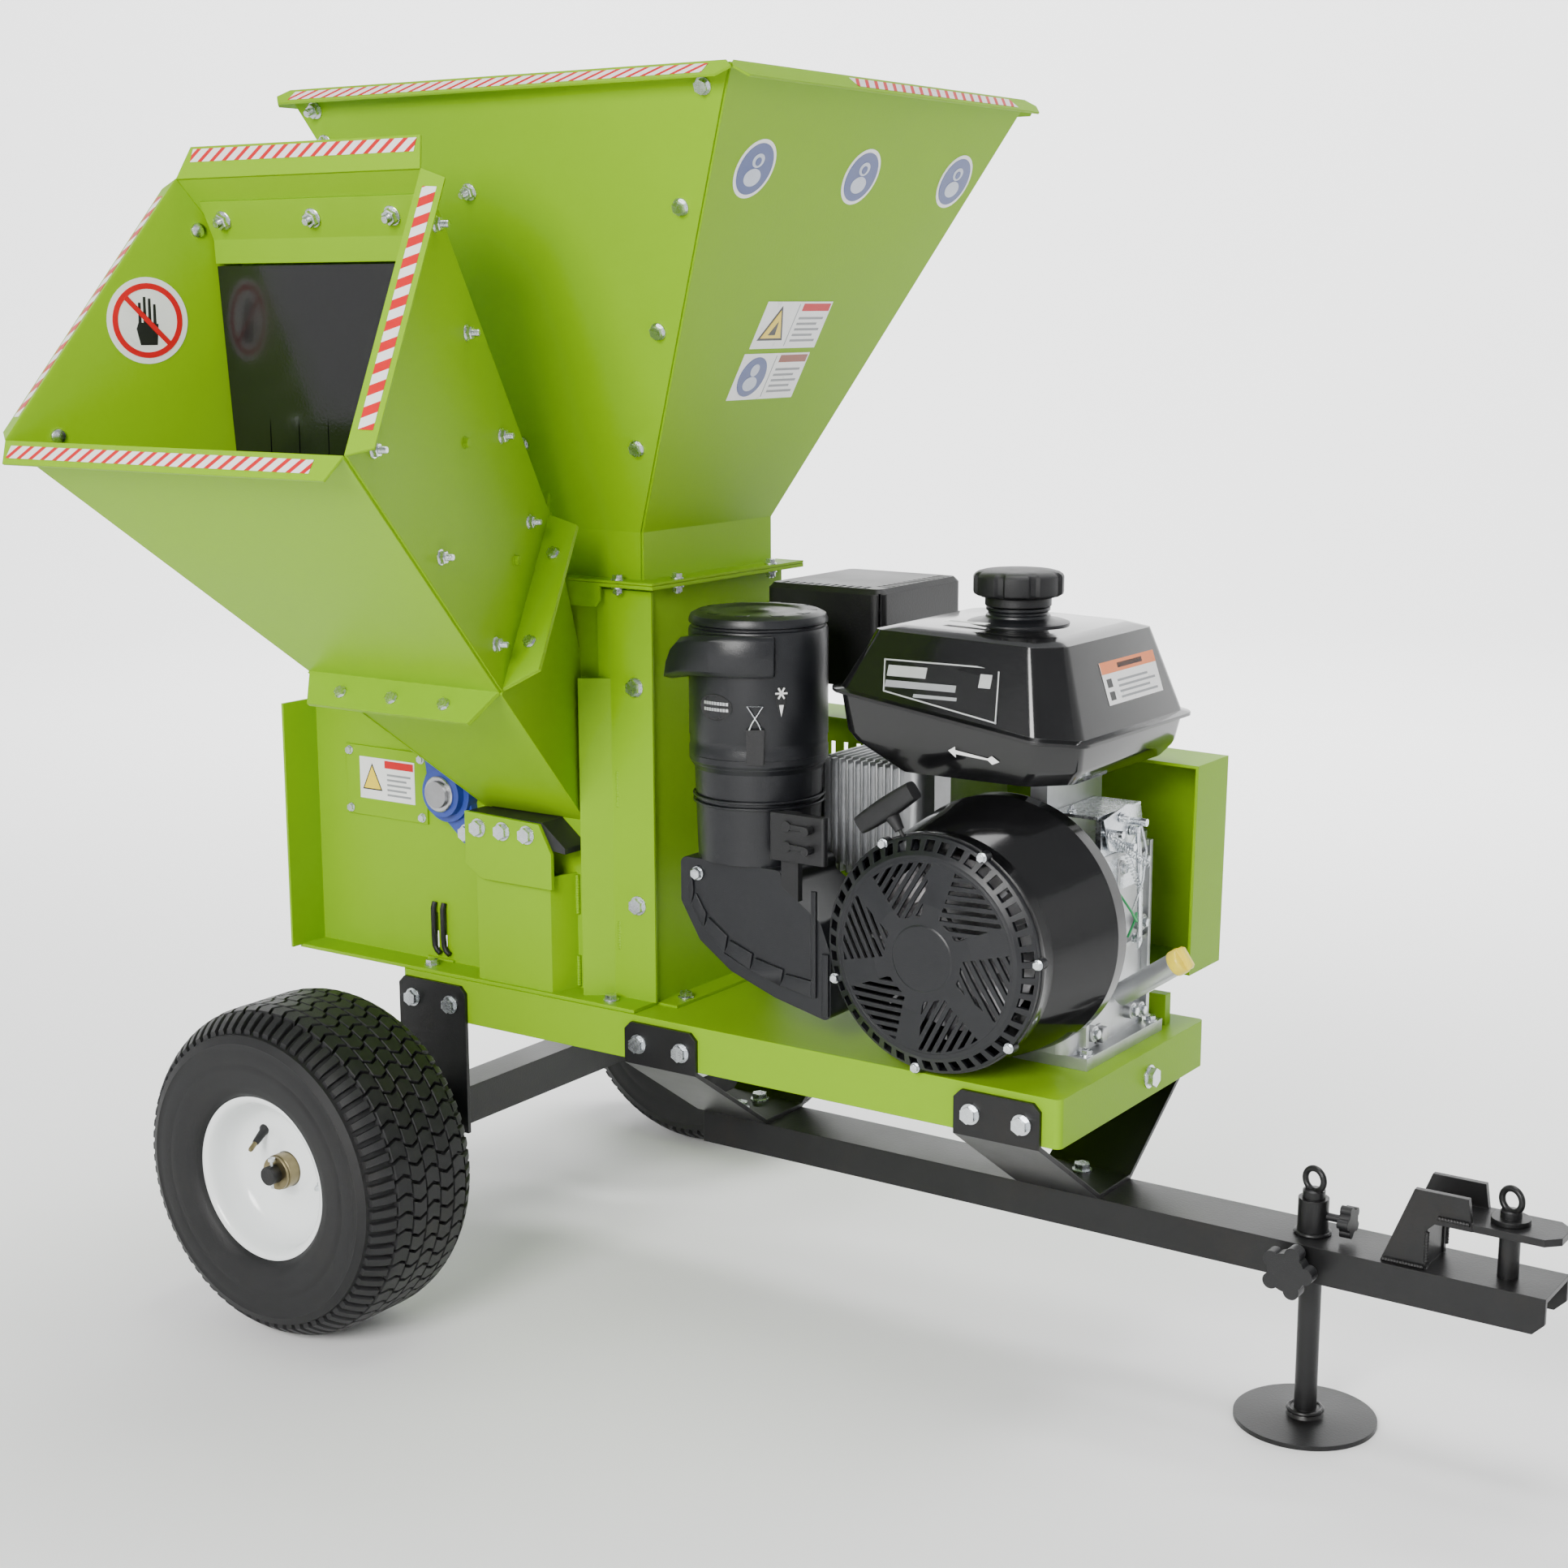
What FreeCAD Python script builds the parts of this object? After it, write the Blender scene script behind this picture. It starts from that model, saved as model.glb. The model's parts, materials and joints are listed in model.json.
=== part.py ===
"""Towable wood chipper and shredder.

Millimetres. X runs from the axle towards the hitch, Y from the chute side to the belt side, Z up from
the ground. The model is laid out from the point on the ground under the middle of the axle, and moved at
the end so that its origin is on the ground under the middle of its overall box.
"""
import FreeCAD, Part
import math
import os

V = FreeCAD.Vector
X, Y, Z = V(1, 0, 0), V(0, 1, 0), V(0, 0, 1)

# ---------------------------------------------------------------- driving dimensions
ORIGIN = V(642.5, -118.505, 0.0)      # middle of the overall box, on the ground

TYRE_R, TYRE_HALF_WIDTH = 228.5, 104.0
WHEEL_Y = 469.0                     # middle of each wheel from the centre line
RIM_R, RIM_HALF_WIDTH = 101.0, 90.0
SPINDLE_R, RUNNING_GAP = 12.7, 0.06
COTTER_Y = 539.0
AXLE_SIDE, AXLE_WALL = 56.0, 5.0

TRAY_X0, TRAY_X1, TRAY_HALF = -68.0, 1007.0, 205.0
TRAY_TOP, TRAY_DEPTH, TRAY_SHEET = 428.0, 63.0, 4.0

BRACKET_SHEET = 6.0
BRACKET_Z0, BRACKET_Z1 = 361.0, 419.0
REAR_BRACKET_X, MID_BRACKET_X, FRONT_BRACKET_X = (-69.0, 57.0), (345.0, 464.0), (861.0, 982.0)

BAR_X0, BAR_X1, BAR_HALF, BAR_Z0, BAR_Z1, BAR_WALL = 355.0, 1554.0, 45.0, 201.0, 247.0, 6.0
JAW_Z, JAW_SHEET, JAW_X0, JAW_X1, JAW_HALF = 305.0, 9.0, 1390.0, 1561.0, 34.0
ARM_H = 39.0                        # height of the gusset arms on the jaw
PIN_X, PIN_R = 1495.0, 12.5
JACK_X, LEG_R, FOOT_R = 1252.0, 14.0, 88.5
JACK_KNOB_Z, COLLAR_KNOB_Z = 222.0, 272.0

HOUSING_HALF = 155.0                # outer face of each side plate
PLATE = 5.0
HOUSING_X0, HOUSING_X1 = -276.0, 355.0
HOUSING_TOP = 1003.0
OUTLET_TOP = 600.0                  # lower edge of the rear wrap, above the discharge
ROTOR_Z, DISC_R = 690.0, 235.0
DISC_Y0, DISC_Y1 = -124.0, -106.0
KNIFE_T = 9.0

SHEET = 3.0                         # hopper and chute sheet
NECK_X0, NECK_X1, NECK_HALF = 197.0, 338.0, 149.0
NECK_Z0, NECK_Z1 = 1012.0, 1076.0
FRAME_X, FRAME_HALF = (168.0, 377.0), 178.0
HOPPER_X0, HOPPER_X1, HOPPER_HALF, HOPPER_TOP = -78.0, 630.0, 350.0, 1645.0
LIP = 30.0
SEAM_GAP = 0.3                      # between a panel and the flange bolted behind it
SEAM_BOLT_Z, SEAM_BOLT_IN = (1190.0, 1340.0, 1488.0, 1622.0), 30.0

CHUTE_X = 149.0
CHUTE_TILT = 40.0                   # slope of the chute floor
MOUTH_Y, MOUTH_Z = -790.0, 1211.0
MOUTH_HALF, MOUTH_H, MOUTH_LEAN = 281.0, 381.0, -33.0
LIP_LEAN = 0.12                      # how far the mouth's lips lean back, per unit of width
NARROWING_ALONG, NARROWING_UP = 0.2337, 0.225    # lost half width per mm down the chute and per mm up
JOINT_S, JOINT_H, JOINT_FLANGE = 492.0, 269.0, 52.0
THROAT_Z0, THROAT_Z1 = 680.0, 900.0
CURTAIN_Y, CURTAIN_TOP, CURTAIN_FOOT = -527.0, 1423.0, 1024.0
CURTAIN_HALF, CURTAIN_FOOT_HALF = 182.0, 150.0
ANVIL_X0, ANVIL_X1 = 58.0, 240.0
COVER_X, COVER_Z = (-211.0, -52.0), (634.0, 738.0)

CRANK_X, CRANK_Z = 829.0, 585.0
CLUTCH_R, PULLEY_R = 60.0, 95.0
BELT_T, BELT_W, BELT_Y = 10.0, 13.0, 211.0
BLOWER_BACK = -90.0
TANK_X, TANK_Y, TANK_Z0, TANK_TOP = (655.0, 985.0), (-168.0, 170.0), 796.0, 972.0
TANK_SEAM = (896.0, 850.0)           # height of the tank's seam at its rear and front
TANK_CLIPS = (14.0, 42.0, 12.0, 42.0)  # near rear, near front, far front and far rear corners
CAP = (822.0, 6.0)                   # middle of the filler neck
LEVER_X = 616.0                     # pivots of the two control levers

nodes = {}


# ---------------------------------------------------------------- small tools
def box(x0, x1, y0, y1, z0, z1):
    return Part.makeBox(x1 - x0, y1 - y0, z1 - z0, V(x0, y0, z0))


def rod(start, along, radius, length):
    return Part.makeCylinder(radius, length, V(*start), along)


def ring(start, along, outer, inner, length):
    return rod(start, along, outer, length).cut(rod(start, along, inner, length))


def fuse(shapes):
    return shapes[0].multiFuse(shapes[1:]).removeSplitter() if len(shapes) > 1 else shapes[0]


def group(shapes):
    return Part.makeCompound(list(shapes))


def face(points):
    corners = [V(*p) for p in points]
    return Part.Face(Part.makePolygon(corners + corners[:1]))


def plate_xz(points, y0, y1):
    return face([(x, y0, z) for x, z in points]).extrude(V(0, y1 - y0, 0))


def plate_yz(points, x0, x1):
    return face([(x0, y, z) for y, z in points]).extrude(V(x1 - x0, 0, 0))


def plate_xy(points, z0, z1):
    return face([(x, y, z0) for x, y in points]).extrude(V(0, 0, z1 - z0))


def slab(points, outward, thickness):
    """A flat panel through 3-D points, thickened towards the side that `outward` points to."""
    flat = face(points)
    normal = flat.normalAt(0, 0)
    if normal.dot(V(*outward)) < 0:
        normal = normal * -1
    return flat.extrude(normal * thickness)


def ribbon(points, thickness):
    """Outline of a folded strip: an open line of 2-D points and its mitred copy on the left."""
    shifted = []
    for i, (px, py) in enumerate(points):
        directions = []
        for a, b in ((i - 1, i), (i, i + 1)):
            if a >= 0 and b < len(points):
                dx, dy = points[b][0] - points[a][0], points[b][1] - points[a][1]
                size = math.hypot(dx, dy)
                directions.append((dx / size, dy / size))
        first, last = directions[0], directions[-1]
        nx, ny = -first[1] - last[1], first[0] + last[0]
        size = math.hypot(nx, ny)
        reach = thickness / (size / 2)
        shifted.append((px + nx / size * reach, py + ny / size * reach))
    return points + shifted[::-1]


def turned(profile, centre, along):
    """Solid of revolution. profile holds (radius, distance along the axis) pairs."""
    side = Z if abs(along.dot(Z)) < 0.5 else X
    corners = [V(*centre) + side * r + along * t for r, t in profile]
    flat = Part.Face(Part.makePolygon(corners + corners[:1]))
    return flat.revolve(V(*centre), along, 360)


def mirror_y(shape):
    return shape.mirror(V(0, 0, 0), Y)


def hexagon(start, along, across, height):
    side = Z if abs(along.dot(Z)) < 0.9 else X
    u = (side - along * side.dot(along)).normalize()
    w = along.cross(u)
    reach = across / 2 / math.cos(math.radians(30))
    turns = [math.radians(60 * i) for i in range(6)]
    corners = [V(*start) + u * (reach * math.cos(a)) + w * (reach * math.sin(a)) for a in turns]
    return Part.Face(Part.makePolygon(corners + corners[:1])).extrude(along * height)


def bolt(at, along, grip, size=10.0, nut=True):
    """Bolt with a washer at each face. `at` is on the head side, and `along` points into the joint."""
    start, along = V(*at), V(*along).normalize()
    washer_r, washer_t = size * 1.1, 2.0
    back = start - along * (washer_t + size * 0.65)
    pieces = [hexagon(tuple(back), along, size * 1.6, size * 0.65),
              rod(tuple(start - along * washer_t), along, washer_r, washer_t),
              rod(tuple(start), along, size / 2, grip + (size * 0.8 + 4 if nut else 0))]
    if nut:
        far = start + along * grip
        pieces += [rod(tuple(far), along, washer_r, washer_t),
                   hexagon(tuple(far + along * washer_t), along, size * 1.6, size * 0.8)]
    return fuse(pieces)


def drilled(shape, places, size=10.0, reach=60.0):
    """Bolt holes through a shape, one at each (point, direction)."""
    for at, along in places:
        along = V(*along).normalize()
        shape = shape.cut(rod(tuple(V(*at) - along * reach / 2), along, size / 2 + 0.2, reach))
    return shape


def drill_nodes(names, places, size=10.0, reach=60.0):
    for name in names:
        nodes[name] = drilled(nodes[name], places, size, reach)


# ---------------------------------------------------------------- wheels and chassis
def tyre(side):
    """Hollow turf tyre, open to the rim between its beads."""
    outer = [(RIM_R + 3.3, 83.5), (RIM_R + 12.6, 83.5), (117, 97), (150, 102), (182, TYRE_HALF_WIDTH),
             (204, 100), (218, 90), (225, 72), (TYRE_R, 40)]
    inner = [(TYRE_R - 13, 40), (211, 70), (204, 84), (190, 90), (160, 92), (128, 86), (RIM_R + 3.3, 72)]
    profile = outer + [(r, -t) for r, t in outer[::-1]] + [(r, -t) for r, t in inner[::-1]] + inner
    return turned(profile, (0, side * WHEEL_Y, TYRE_R), Y)


def rim(side):
    """Dished steel rim with its hub tube, one turned solid."""
    wide, bead = RIM_HALF_WIDTH, RIM_R
    profile = [(bead + 12, wide), (bead + 12, wide - 3), (bead + 3, wide - 6), (bead + 3, -wide + 6),
               (bead + 12, -wide + 3), (bead + 12, -wide), (bead, -wide), (bead, 30), (70, 44), (42, 30),
               (22, 30), (22, -60), (SPINDLE_R + RUNNING_GAP, -60), (SPINDLE_R + RUNNING_GAP, 61),
               (22, 61), (22, 34), (40, 34), (70, 48), (bead, 34), (bead, wide)]
    outward = Y if side > 0 else Y * -1
    return turned(profile, (0, side * WHEEL_Y, TYRE_R), outward)


def make_wheels():
    for name, side in (("near", -1), ("far", 1)):
        nodes[name + "_tyre"] = tyre(side)
        nodes[name + "_rim"] = rim(side)


def make_axle():
    half, inner = AXLE_SIDE / 2, AXLE_SIDE / 2 - AXLE_WALL
    end = 392.0
    tube = box(-half, half, -end, end, TYRE_R - half, TYRE_R + half)
    tube = tube.cut(box(-inner, inner, -end + 60, end - 60, TYRE_R - inner, TYRE_R + inner))
    spindle = rod((0, end, TYRE_R), Y, SPINDLE_R, 156)
    shoulder = rod((0, end, TYRE_R), Y, 21, 16)
    cotter_hole = rod((0, COTTER_Y, TYRE_R - 20), Z, 2.6, 40)
    far = fuse([spindle, shoulder]).cut(cotter_hole)
    nodes["axle"] = fuse([tube, far, mirror_y(far)])


def make_tray():
    tray = box(TRAY_X0, TRAY_X1, -TRAY_HALF, TRAY_HALF, TRAY_TOP - TRAY_DEPTH, TRAY_TOP)
    edges = [e for e in tray.Edges if abs(e.tangentAt(e.FirstParameter).z) > 0.9]
    tray = tray.makeFillet(9, edges)
    t = TRAY_SHEET
    inside = box(TRAY_X0 + t, TRAY_X1 - t, -TRAY_HALF + t, TRAY_HALF - t,
                 TRAY_TOP - TRAY_DEPTH, TRAY_TOP - t)
    lug = box(951, 975, 150, 166, TRAY_TOP, TRAY_TOP + 42)
    nodes["base_tray"] = fuse([tray.cut(inside), lug])


def bracket_outline(x0, x1, z0, z1, cut=10.0):
    return [(x0, z0), (x1, z0), (x1, z1 - cut), (x1 - cut, z1), (x0 + cut, z1), (x0, z1 - cut)]


def make_brackets():
    x0, x1 = REAR_BRACKET_X
    outside = TRAY_HALF + BRACKET_SHEET
    hanger = plate_xz(bracket_outline(x0, x1, TYRE_R - 27, BRACKET_Z1), -outside, -TRAY_HALF)
    half = AXLE_SIDE / 2 + 0.05
    hanger = hanger.cut(box(-half, half, -outside - 1, -TRAY_HALF + 1, TYRE_R - half, TYRE_R + half))
    nodes["axle_hangers"] = group([hanger, mirror_y(hanger)])

    members = []
    for x0, x1 in (MID_BRACKET_X, FRONT_BRACKET_X):
        line = [(-outside, BRACKET_Z1), (-outside, BRACKET_Z0), (-BAR_HALF, BAR_Z1), (BAR_HALF, BAR_Z1),
                (outside, BRACKET_Z0), (outside, BRACKET_Z1)]
        member = plate_yz(ribbon(line, BRACKET_SHEET), x0, x1)
        corners = [member.cut(plate_xz(bracket_outline(x0, x1, 0, BRACKET_Z1), -outside - 1, outside + 1))]
        members.append(member.cut(group(corners)))
    nodes["cross_members"] = group(members)


def make_drawbar():
    line = [(BAR_HALF, BAR_Z0), (BAR_HALF, BAR_Z1), (-BAR_HALF, BAR_Z1), (-BAR_HALF, BAR_Z0)]
    bar = plate_yz(ribbon(line, BAR_WALL), BAR_X0, BAR_X1)
    clip = 14.0
    corner = plate_xz([(BAR_X1 - clip, BAR_Z0), (BAR_X1 + 1, BAR_Z0 - 1), (BAR_X1, BAR_Z0 + clip)], -60, 60)
    bar = bar.cut(corner)

    end = JAW_X1
    chamfer = 16.0
    jaw = plate_xy([(JAW_X0 + 6, -JAW_HALF), (end - chamfer, -JAW_HALF), (end, -JAW_HALF + chamfer),
                    (end, JAW_HALF - chamfer), (end - chamfer, JAW_HALF), (JAW_X0 + 6, JAW_HALF)],
                   JAW_Z, JAW_Z + JAW_SHEET)
    riser = box(JAW_X0 + 6, JAW_X0 + 16, -JAW_HALF + 7, JAW_HALF - 7, BAR_Z1, JAW_Z)
    outline = [(JAW_X0 - 38, BAR_Z1), (JAW_X0 + 18, BAR_Z1), (JAW_X0 + 18, JAW_Z - 8), (JAW_X0 + 26, JAW_Z),
               (JAW_X0 + 71, JAW_Z), (JAW_X0 + 65, JAW_Z + ARM_H), (JAW_X0, JAW_Z + ARM_H)]
    gusset = plate_xz(outline, -JAW_HALF - 1, -JAW_HALF + 7)
    weldment = fuse([bar, jaw, riser, gusset, mirror_y(gusset)])
    for z in (BAR_Z1 - 20, JAW_Z - 10):
        weldment = weldment.cut(rod((PIN_X, 0, z), Z, PIN_R + RUNNING_GAP, 40))
    collar = rod((JACK_X, 0, BAR_Z0 + 4), Z, 19, 88)
    leg_bore = rod((JACK_X, 0, BAR_Z0), Z, LEG_R + RUNNING_GAP, 100)
    stems = [rod((JACK_X, -60, JACK_KNOB_Z), Y, 5.06, 60), rod((JACK_X, 0, COLLAR_KNOB_Z), X, 5.06, 30)]
    nodes["drawbar"] = fuse([weldment, collar]).cut(group([leg_bore] + stems))


def eye(centre, radius, wire, along=X):
    return Part.makeTorus(radius, wire, V(*centre), along)


def make_hitch_pin():
    top = JAW_Z + JAW_SHEET + 0.3
    shank = rod((PIN_X, 0, BAR_Z0 + 2), Z, PIN_R, top - BAR_Z0 + 12)
    shoulder = rod((PIN_X, 0, top), Z, 23, 6)
    nodes["hitch_pin"] = fuse([shank, shoulder, eye((PIN_X, 0, top + 27), 14, 4, V(0.35, 1, 0))])


def star(centre, along, radius, depth):
    """Five-lobed hand knob."""
    u = Z
    w = along.cross(u)
    pieces = [rod(centre, along, radius * 0.72, depth)]
    for i in range(5):
        a = math.radians(72 * i + 18)
        at = V(*centre) + u * (radius * 0.7 * math.cos(a)) + w * (radius * 0.7 * math.sin(a))
        pieces.append(rod(tuple(at), along, radius * 0.3, depth))
    return fuse(pieces)


def make_jack():
    rod_top = 303.0
    foot = turned([(0, 0), (FOOT_R, 0), (FOOT_R, 6), (24, 8), (19, 16), (0, 16)], (JACK_X, 0, 0), Z)
    leg = rod((JACK_X, 0, 10), Z, LEG_R, rod_top - 10)
    nodes["jack_leg"] = fuse([foot, leg, eye((JACK_X, 0, rod_top + 13), 14, 4, V(0.3, 1, 0))])

    stem = rod((JACK_X, -66, JACK_KNOB_Z), Y, 5, 66 - LEG_R - 0.6)
    nodes["jack_knob"] = fuse([star((JACK_X, -82, JACK_KNOB_Z), Y, 34, 18), stem])
    stem = rod((JACK_X + LEG_R + 0.6, 0, COLLAR_KNOB_Z), X, 5, 38 - LEG_R)
    nodes["collar_knob"] = fuse([star((JACK_X + 38, 0, COLLAR_KNOB_Z), X, 21, 14), stem])


# ---------------------------------------------------------------- housing
def housing_outline():
    return [(HOUSING_X0, TRAY_TOP), (HOUSING_X1, TRAY_TOP), (HOUSING_X1, HOUSING_TOP), (190, HOUSING_TOP),
            (-120, 960), (HOUSING_X0, 800)]


def make_housing():
    outer, inner = HOUSING_HALF, HOUSING_HALF - PLATE
    near = plate_xz(housing_outline(), -outer, -inner)
    rear_wing = box(HOUSING_X0, HOUSING_X0 + 4, -outer - 66, -outer, TRAY_TOP + 4, 800)
    foot = box(HOUSING_X0, HOUSING_X1, -TRAY_HALF + 3, -outer, TRAY_TOP, TRAY_TOP + 5)
    front_strip = box(268, HOUSING_X1 + 5, -outer - 4, -outer, TRAY_TOP + 5, HOUSING_TOP - 5)
    slanted = plate_xy(ribbon([(252, -outer - 28), (296, -outer)], 5), TRAY_TOP + 5, 877)
    channel = plate_xy(ribbon([(62, -outer), (74, -outer - 42), (208, -outer - 42), (222, -outer)], 4),
                       TRAY_TOP + 5, 598)
    throat = plate_xz([(CHUTE_X - 82, THROAT_Z0), (CHUTE_X + 82, THROAT_Z0), (CHUTE_X + 66, 850),
                       (CHUTE_X - 74, 850)], -outer - 1, -inner + 1)
    shaft_hole = rod((0, -outer - 1, ROTOR_Z), Y, 27, PLATE + 2)
    slots = [box(x, x + 6, -outer - 1, -inner + 1, 446, 504) for x in (-46, -30)]
    weldment = fuse([near, rear_wing, foot, front_strip, slanted, channel])
    nodes["housing_near_plate"] = weldment.cut(group([throat, shaft_hole] + slots))

    far = plate_xz(housing_outline(), inner, outer)
    far_foot = box(HOUSING_X0, HOUSING_X1, outer, TRAY_HALF - 3, TRAY_TOP, TRAY_TOP + 5)
    far_wing = box(HOUSING_X0, HOUSING_X0 + 4, outer, outer + 45, TRAY_TOP + 5, 540)
    nodes["housing_far_plate"] = fuse([far, far_foot, far_wing]).cut(rod((0, inner - 1, ROTOR_Z), Y, 27, 7))

    front = box(HOUSING_X1 - 4, HOUSING_X1, -inner, inner, TRAY_TOP, HOUSING_TOP)
    front_foot = box(HOUSING_X1, HOUSING_X1 + 34, -inner, inner, TRAY_TOP, TRAY_TOP + 4)
    nodes["housing_front_plate"] = fuse([front, front_foot])

    line = [(HOUSING_X0, OUTLET_TOP), (HOUSING_X0, 800), (-120, 960), (190, HOUSING_TOP)]
    wrap = plate_xz(ribbon(line[::-1], 4), -inner, inner)
    nodes["housing_wrap"] = wrap

    frame = box(*FRAME_X, -FRAME_HALF, FRAME_HALF, HOUSING_TOP, HOUSING_TOP + 5)
    frame = frame.cut(box(NECK_X0 + 3, NECK_X1 - 3, -146, 146, HOUSING_TOP - 1, HOUSING_TOP + 6))
    tab = plate_xz([(222, 975), (280, 975), (288, 985), (288, HOUSING_TOP), (222, HOUSING_TOP)],
                   -FRAME_HALF, -FRAME_HALF + 4)
    nodes["neck_frame"] = fuse([frame, tab])


def make_housing_fittings():
    outer = HOUSING_HALF
    nodes["access_cover"] = box(*COVER_X, -outer - 3, -outer, *COVER_Z)

    face_y = -outer - 45
    bracket = plate_xz([(ANVIL_X0 + 4, 600), (92, 582), (ANVIL_X1 - 22, 582), (ANVIL_X1 - 22, 632),
                        (196, 672), (ANVIL_X0 + 4, 676)], face_y - 6, face_y)
    nodes["anvil_bracket"] = bracket
    top = THROAT_Z0 - 6
    bar = plate_xz([(ANVIL_X0, 652), (ANVIL_X1 - 2, 634), (ANVIL_X1 - 2, 642), (198, top), (ANVIL_X0, top)],
                   face_y, -outer)
    edge = box(CHUTE_X - 80, 198, -outer, DISC_Y0 - KNIFE_T - 2, 655, top)
    nodes["bed_knife"] = fuse([bar, edge])
    nodes["housing_near_plate"] = nodes["housing_near_plate"].cut(
        box(CHUTE_X - 80.5, 198.5, -outer - 0.01, -outer + PLATE + 1, 654.5, THROAT_Z0 + 1))

    tilt = math.radians(-60)
    ends = [(65 * math.cos(tilt), 65 * math.sin(tilt)), (-65 * math.cos(tilt), -65 * math.sin(tilt))]
    bearings = []
    for side in (-1, 1):
        away = Y * side
        start = (0, side * outer, ROTOR_Z)
        lobes = [rod((x, side * outer, ROTOR_Z + z), away, 17, 13) for x, z in ends]
        web = []
        for x, z in ends:
            u = V(x, 0, z).normalize()
            w = V(-u.z, 0, u.x)
            base = V(*start)
            corners = [base + w * 40, base + u * 65 + w * 16, base + u * 65 - w * 16, base - w * 40]
            web.append(Part.Face(Part.makePolygon(corners + corners[:1])).extrude(away * 13))
        body = fuse(lobes + web + [rod(start, away, 43, 20), rod(start, away, 34, 32)])
        body = body.cut(rod((0, side * outer - 1 * side, ROTOR_Z), away, 19 + RUNNING_GAP, 40))
        places = [((x, side * outer, ROTOR_Z + z), (0, side, 0)) for x, z in ends]
        bearings.append(drilled(body, places, 12))
    nodes["bearings"] = group(bearings)

    inner, thick = DISC_R + 9, 4
    arc = ring((0, -95, ROTOR_Z), Y, inner + thick, inner, 245)
    keep = plate_xz([(0, ROTOR_Z), (-260, 560), (-260, 430), (0, 430)], -96, 150)
    holes = []
    for i in range(7):
        a = math.radians(211 + 8 * i)
        for y in (-70, -35, 0, 35, 70, 105):
            out = V(math.cos(a), 0, math.sin(a))
            holes.append(rod(tuple(V(0, y, ROTOR_Z) + out * (inner - 10)), out, 12, 30))
    nodes["screen"] = arc.common(keep).cut(group(holes))


# ---------------------------------------------------------------- rotor and drive
def make_rotor():
    shaft = fuse([rod((0, -198, ROTOR_Z), Y, 19, 434), rod((0, -148, ROTOR_Z), Y, 26, 296)])
    nodes["rotor_shaft"] = shaft

    depth = DISC_Y1 - DISC_Y0
    disc = ring((0, DISC_Y0, ROTOR_Z), Y, DISC_R, 26.02, depth)
    hub = ring((0, DISC_Y1, ROTOR_Z), Y, 46, 26.02, 22)
    knives, pockets = [], []
    for turn in (90, 270):
        knife = box(70, 222, DISC_Y0 - KNIFE_T, DISC_Y0, ROTOR_Z - 25, ROTOR_Z + 25)
        bevel = plate_xz([(69, ROTOR_Z + 25.5), (223, ROTOR_Z + 25.5), (223, ROTOR_Z + 14),
                          (69, ROTOR_Z + 14)], DISC_Y0 - 4, DISC_Y0 + 0.1)
        slot = box(72, 220, DISC_Y0 - 1, DISC_Y1 + 1, ROTOR_Z + 28, ROTOR_Z + 52)
        for shape, store in ((knife.cut(bevel), knives), (slot, pockets)):
            shape.rotate(V(0, 0, ROTOR_Z), Y, turn)
            store.append(shape)
    nodes["flywheel_disc"] = fuse([disc, hub]).cut(group(pockets))
    nodes["chipper_knives"] = group(knives)

    pin_radius, pin = 130.0, 9.5
    low, high = ROTOR_Z - 155, ROTOR_Z + 155
    arms = []
    for y in (-60, 30, 120):
        arm = plate_xz([(-40, low), (40, low), (40, high), (-40, high)], y, y + 12)
        arms.append(arm.cut(rod((0, y - 1, ROTOR_Z), Y, 26.02, 14)))
    spacers = [ring((0, y, ROTOR_Z), Y, 40, 26.02, 78) for y in (-48, 42)]
    pins = [rod((0, -66, ROTOR_Z + s * pin_radius), Y, pin, 204) for s in (-1, 1)]
    nodes["hammer_carrier"] = fuse(arms + spacers + pins)
    for number, side in ((1, 1), (2, -1)):
        at = ROTOR_Z + side * pin_radius
        blades = []
        for y in (-34, -8, 52, 78):
            blade = fuse([box(-20, 20, y, y + 10, at - 66, at), rod((0, y, at), Y, 20, 10)])
            blades.append(blade.cut(rod((0, y - 1, at), Y, pin + RUNNING_GAP, 12)))
        nodes["hammers_%d" % number] = group(blades)


def grooved_pulley(centre, radius, bore, y0, y1):
    """Pulley with one square-sided groove for the belt."""
    floor = radius - BELT_T - 2.3
    half = BELT_W / 2 + 0.5
    middle = (y0 + y1) / 2
    profile = [(bore, y0), (radius + 3, y0), (radius + 3, middle - half), (floor, middle - half),
               (floor, middle + half), (radius + 3, middle + half), (radius + 3, y1), (bore, y1)]
    return turned(profile, (centre[0], 0, centre[1]), Y)


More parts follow.
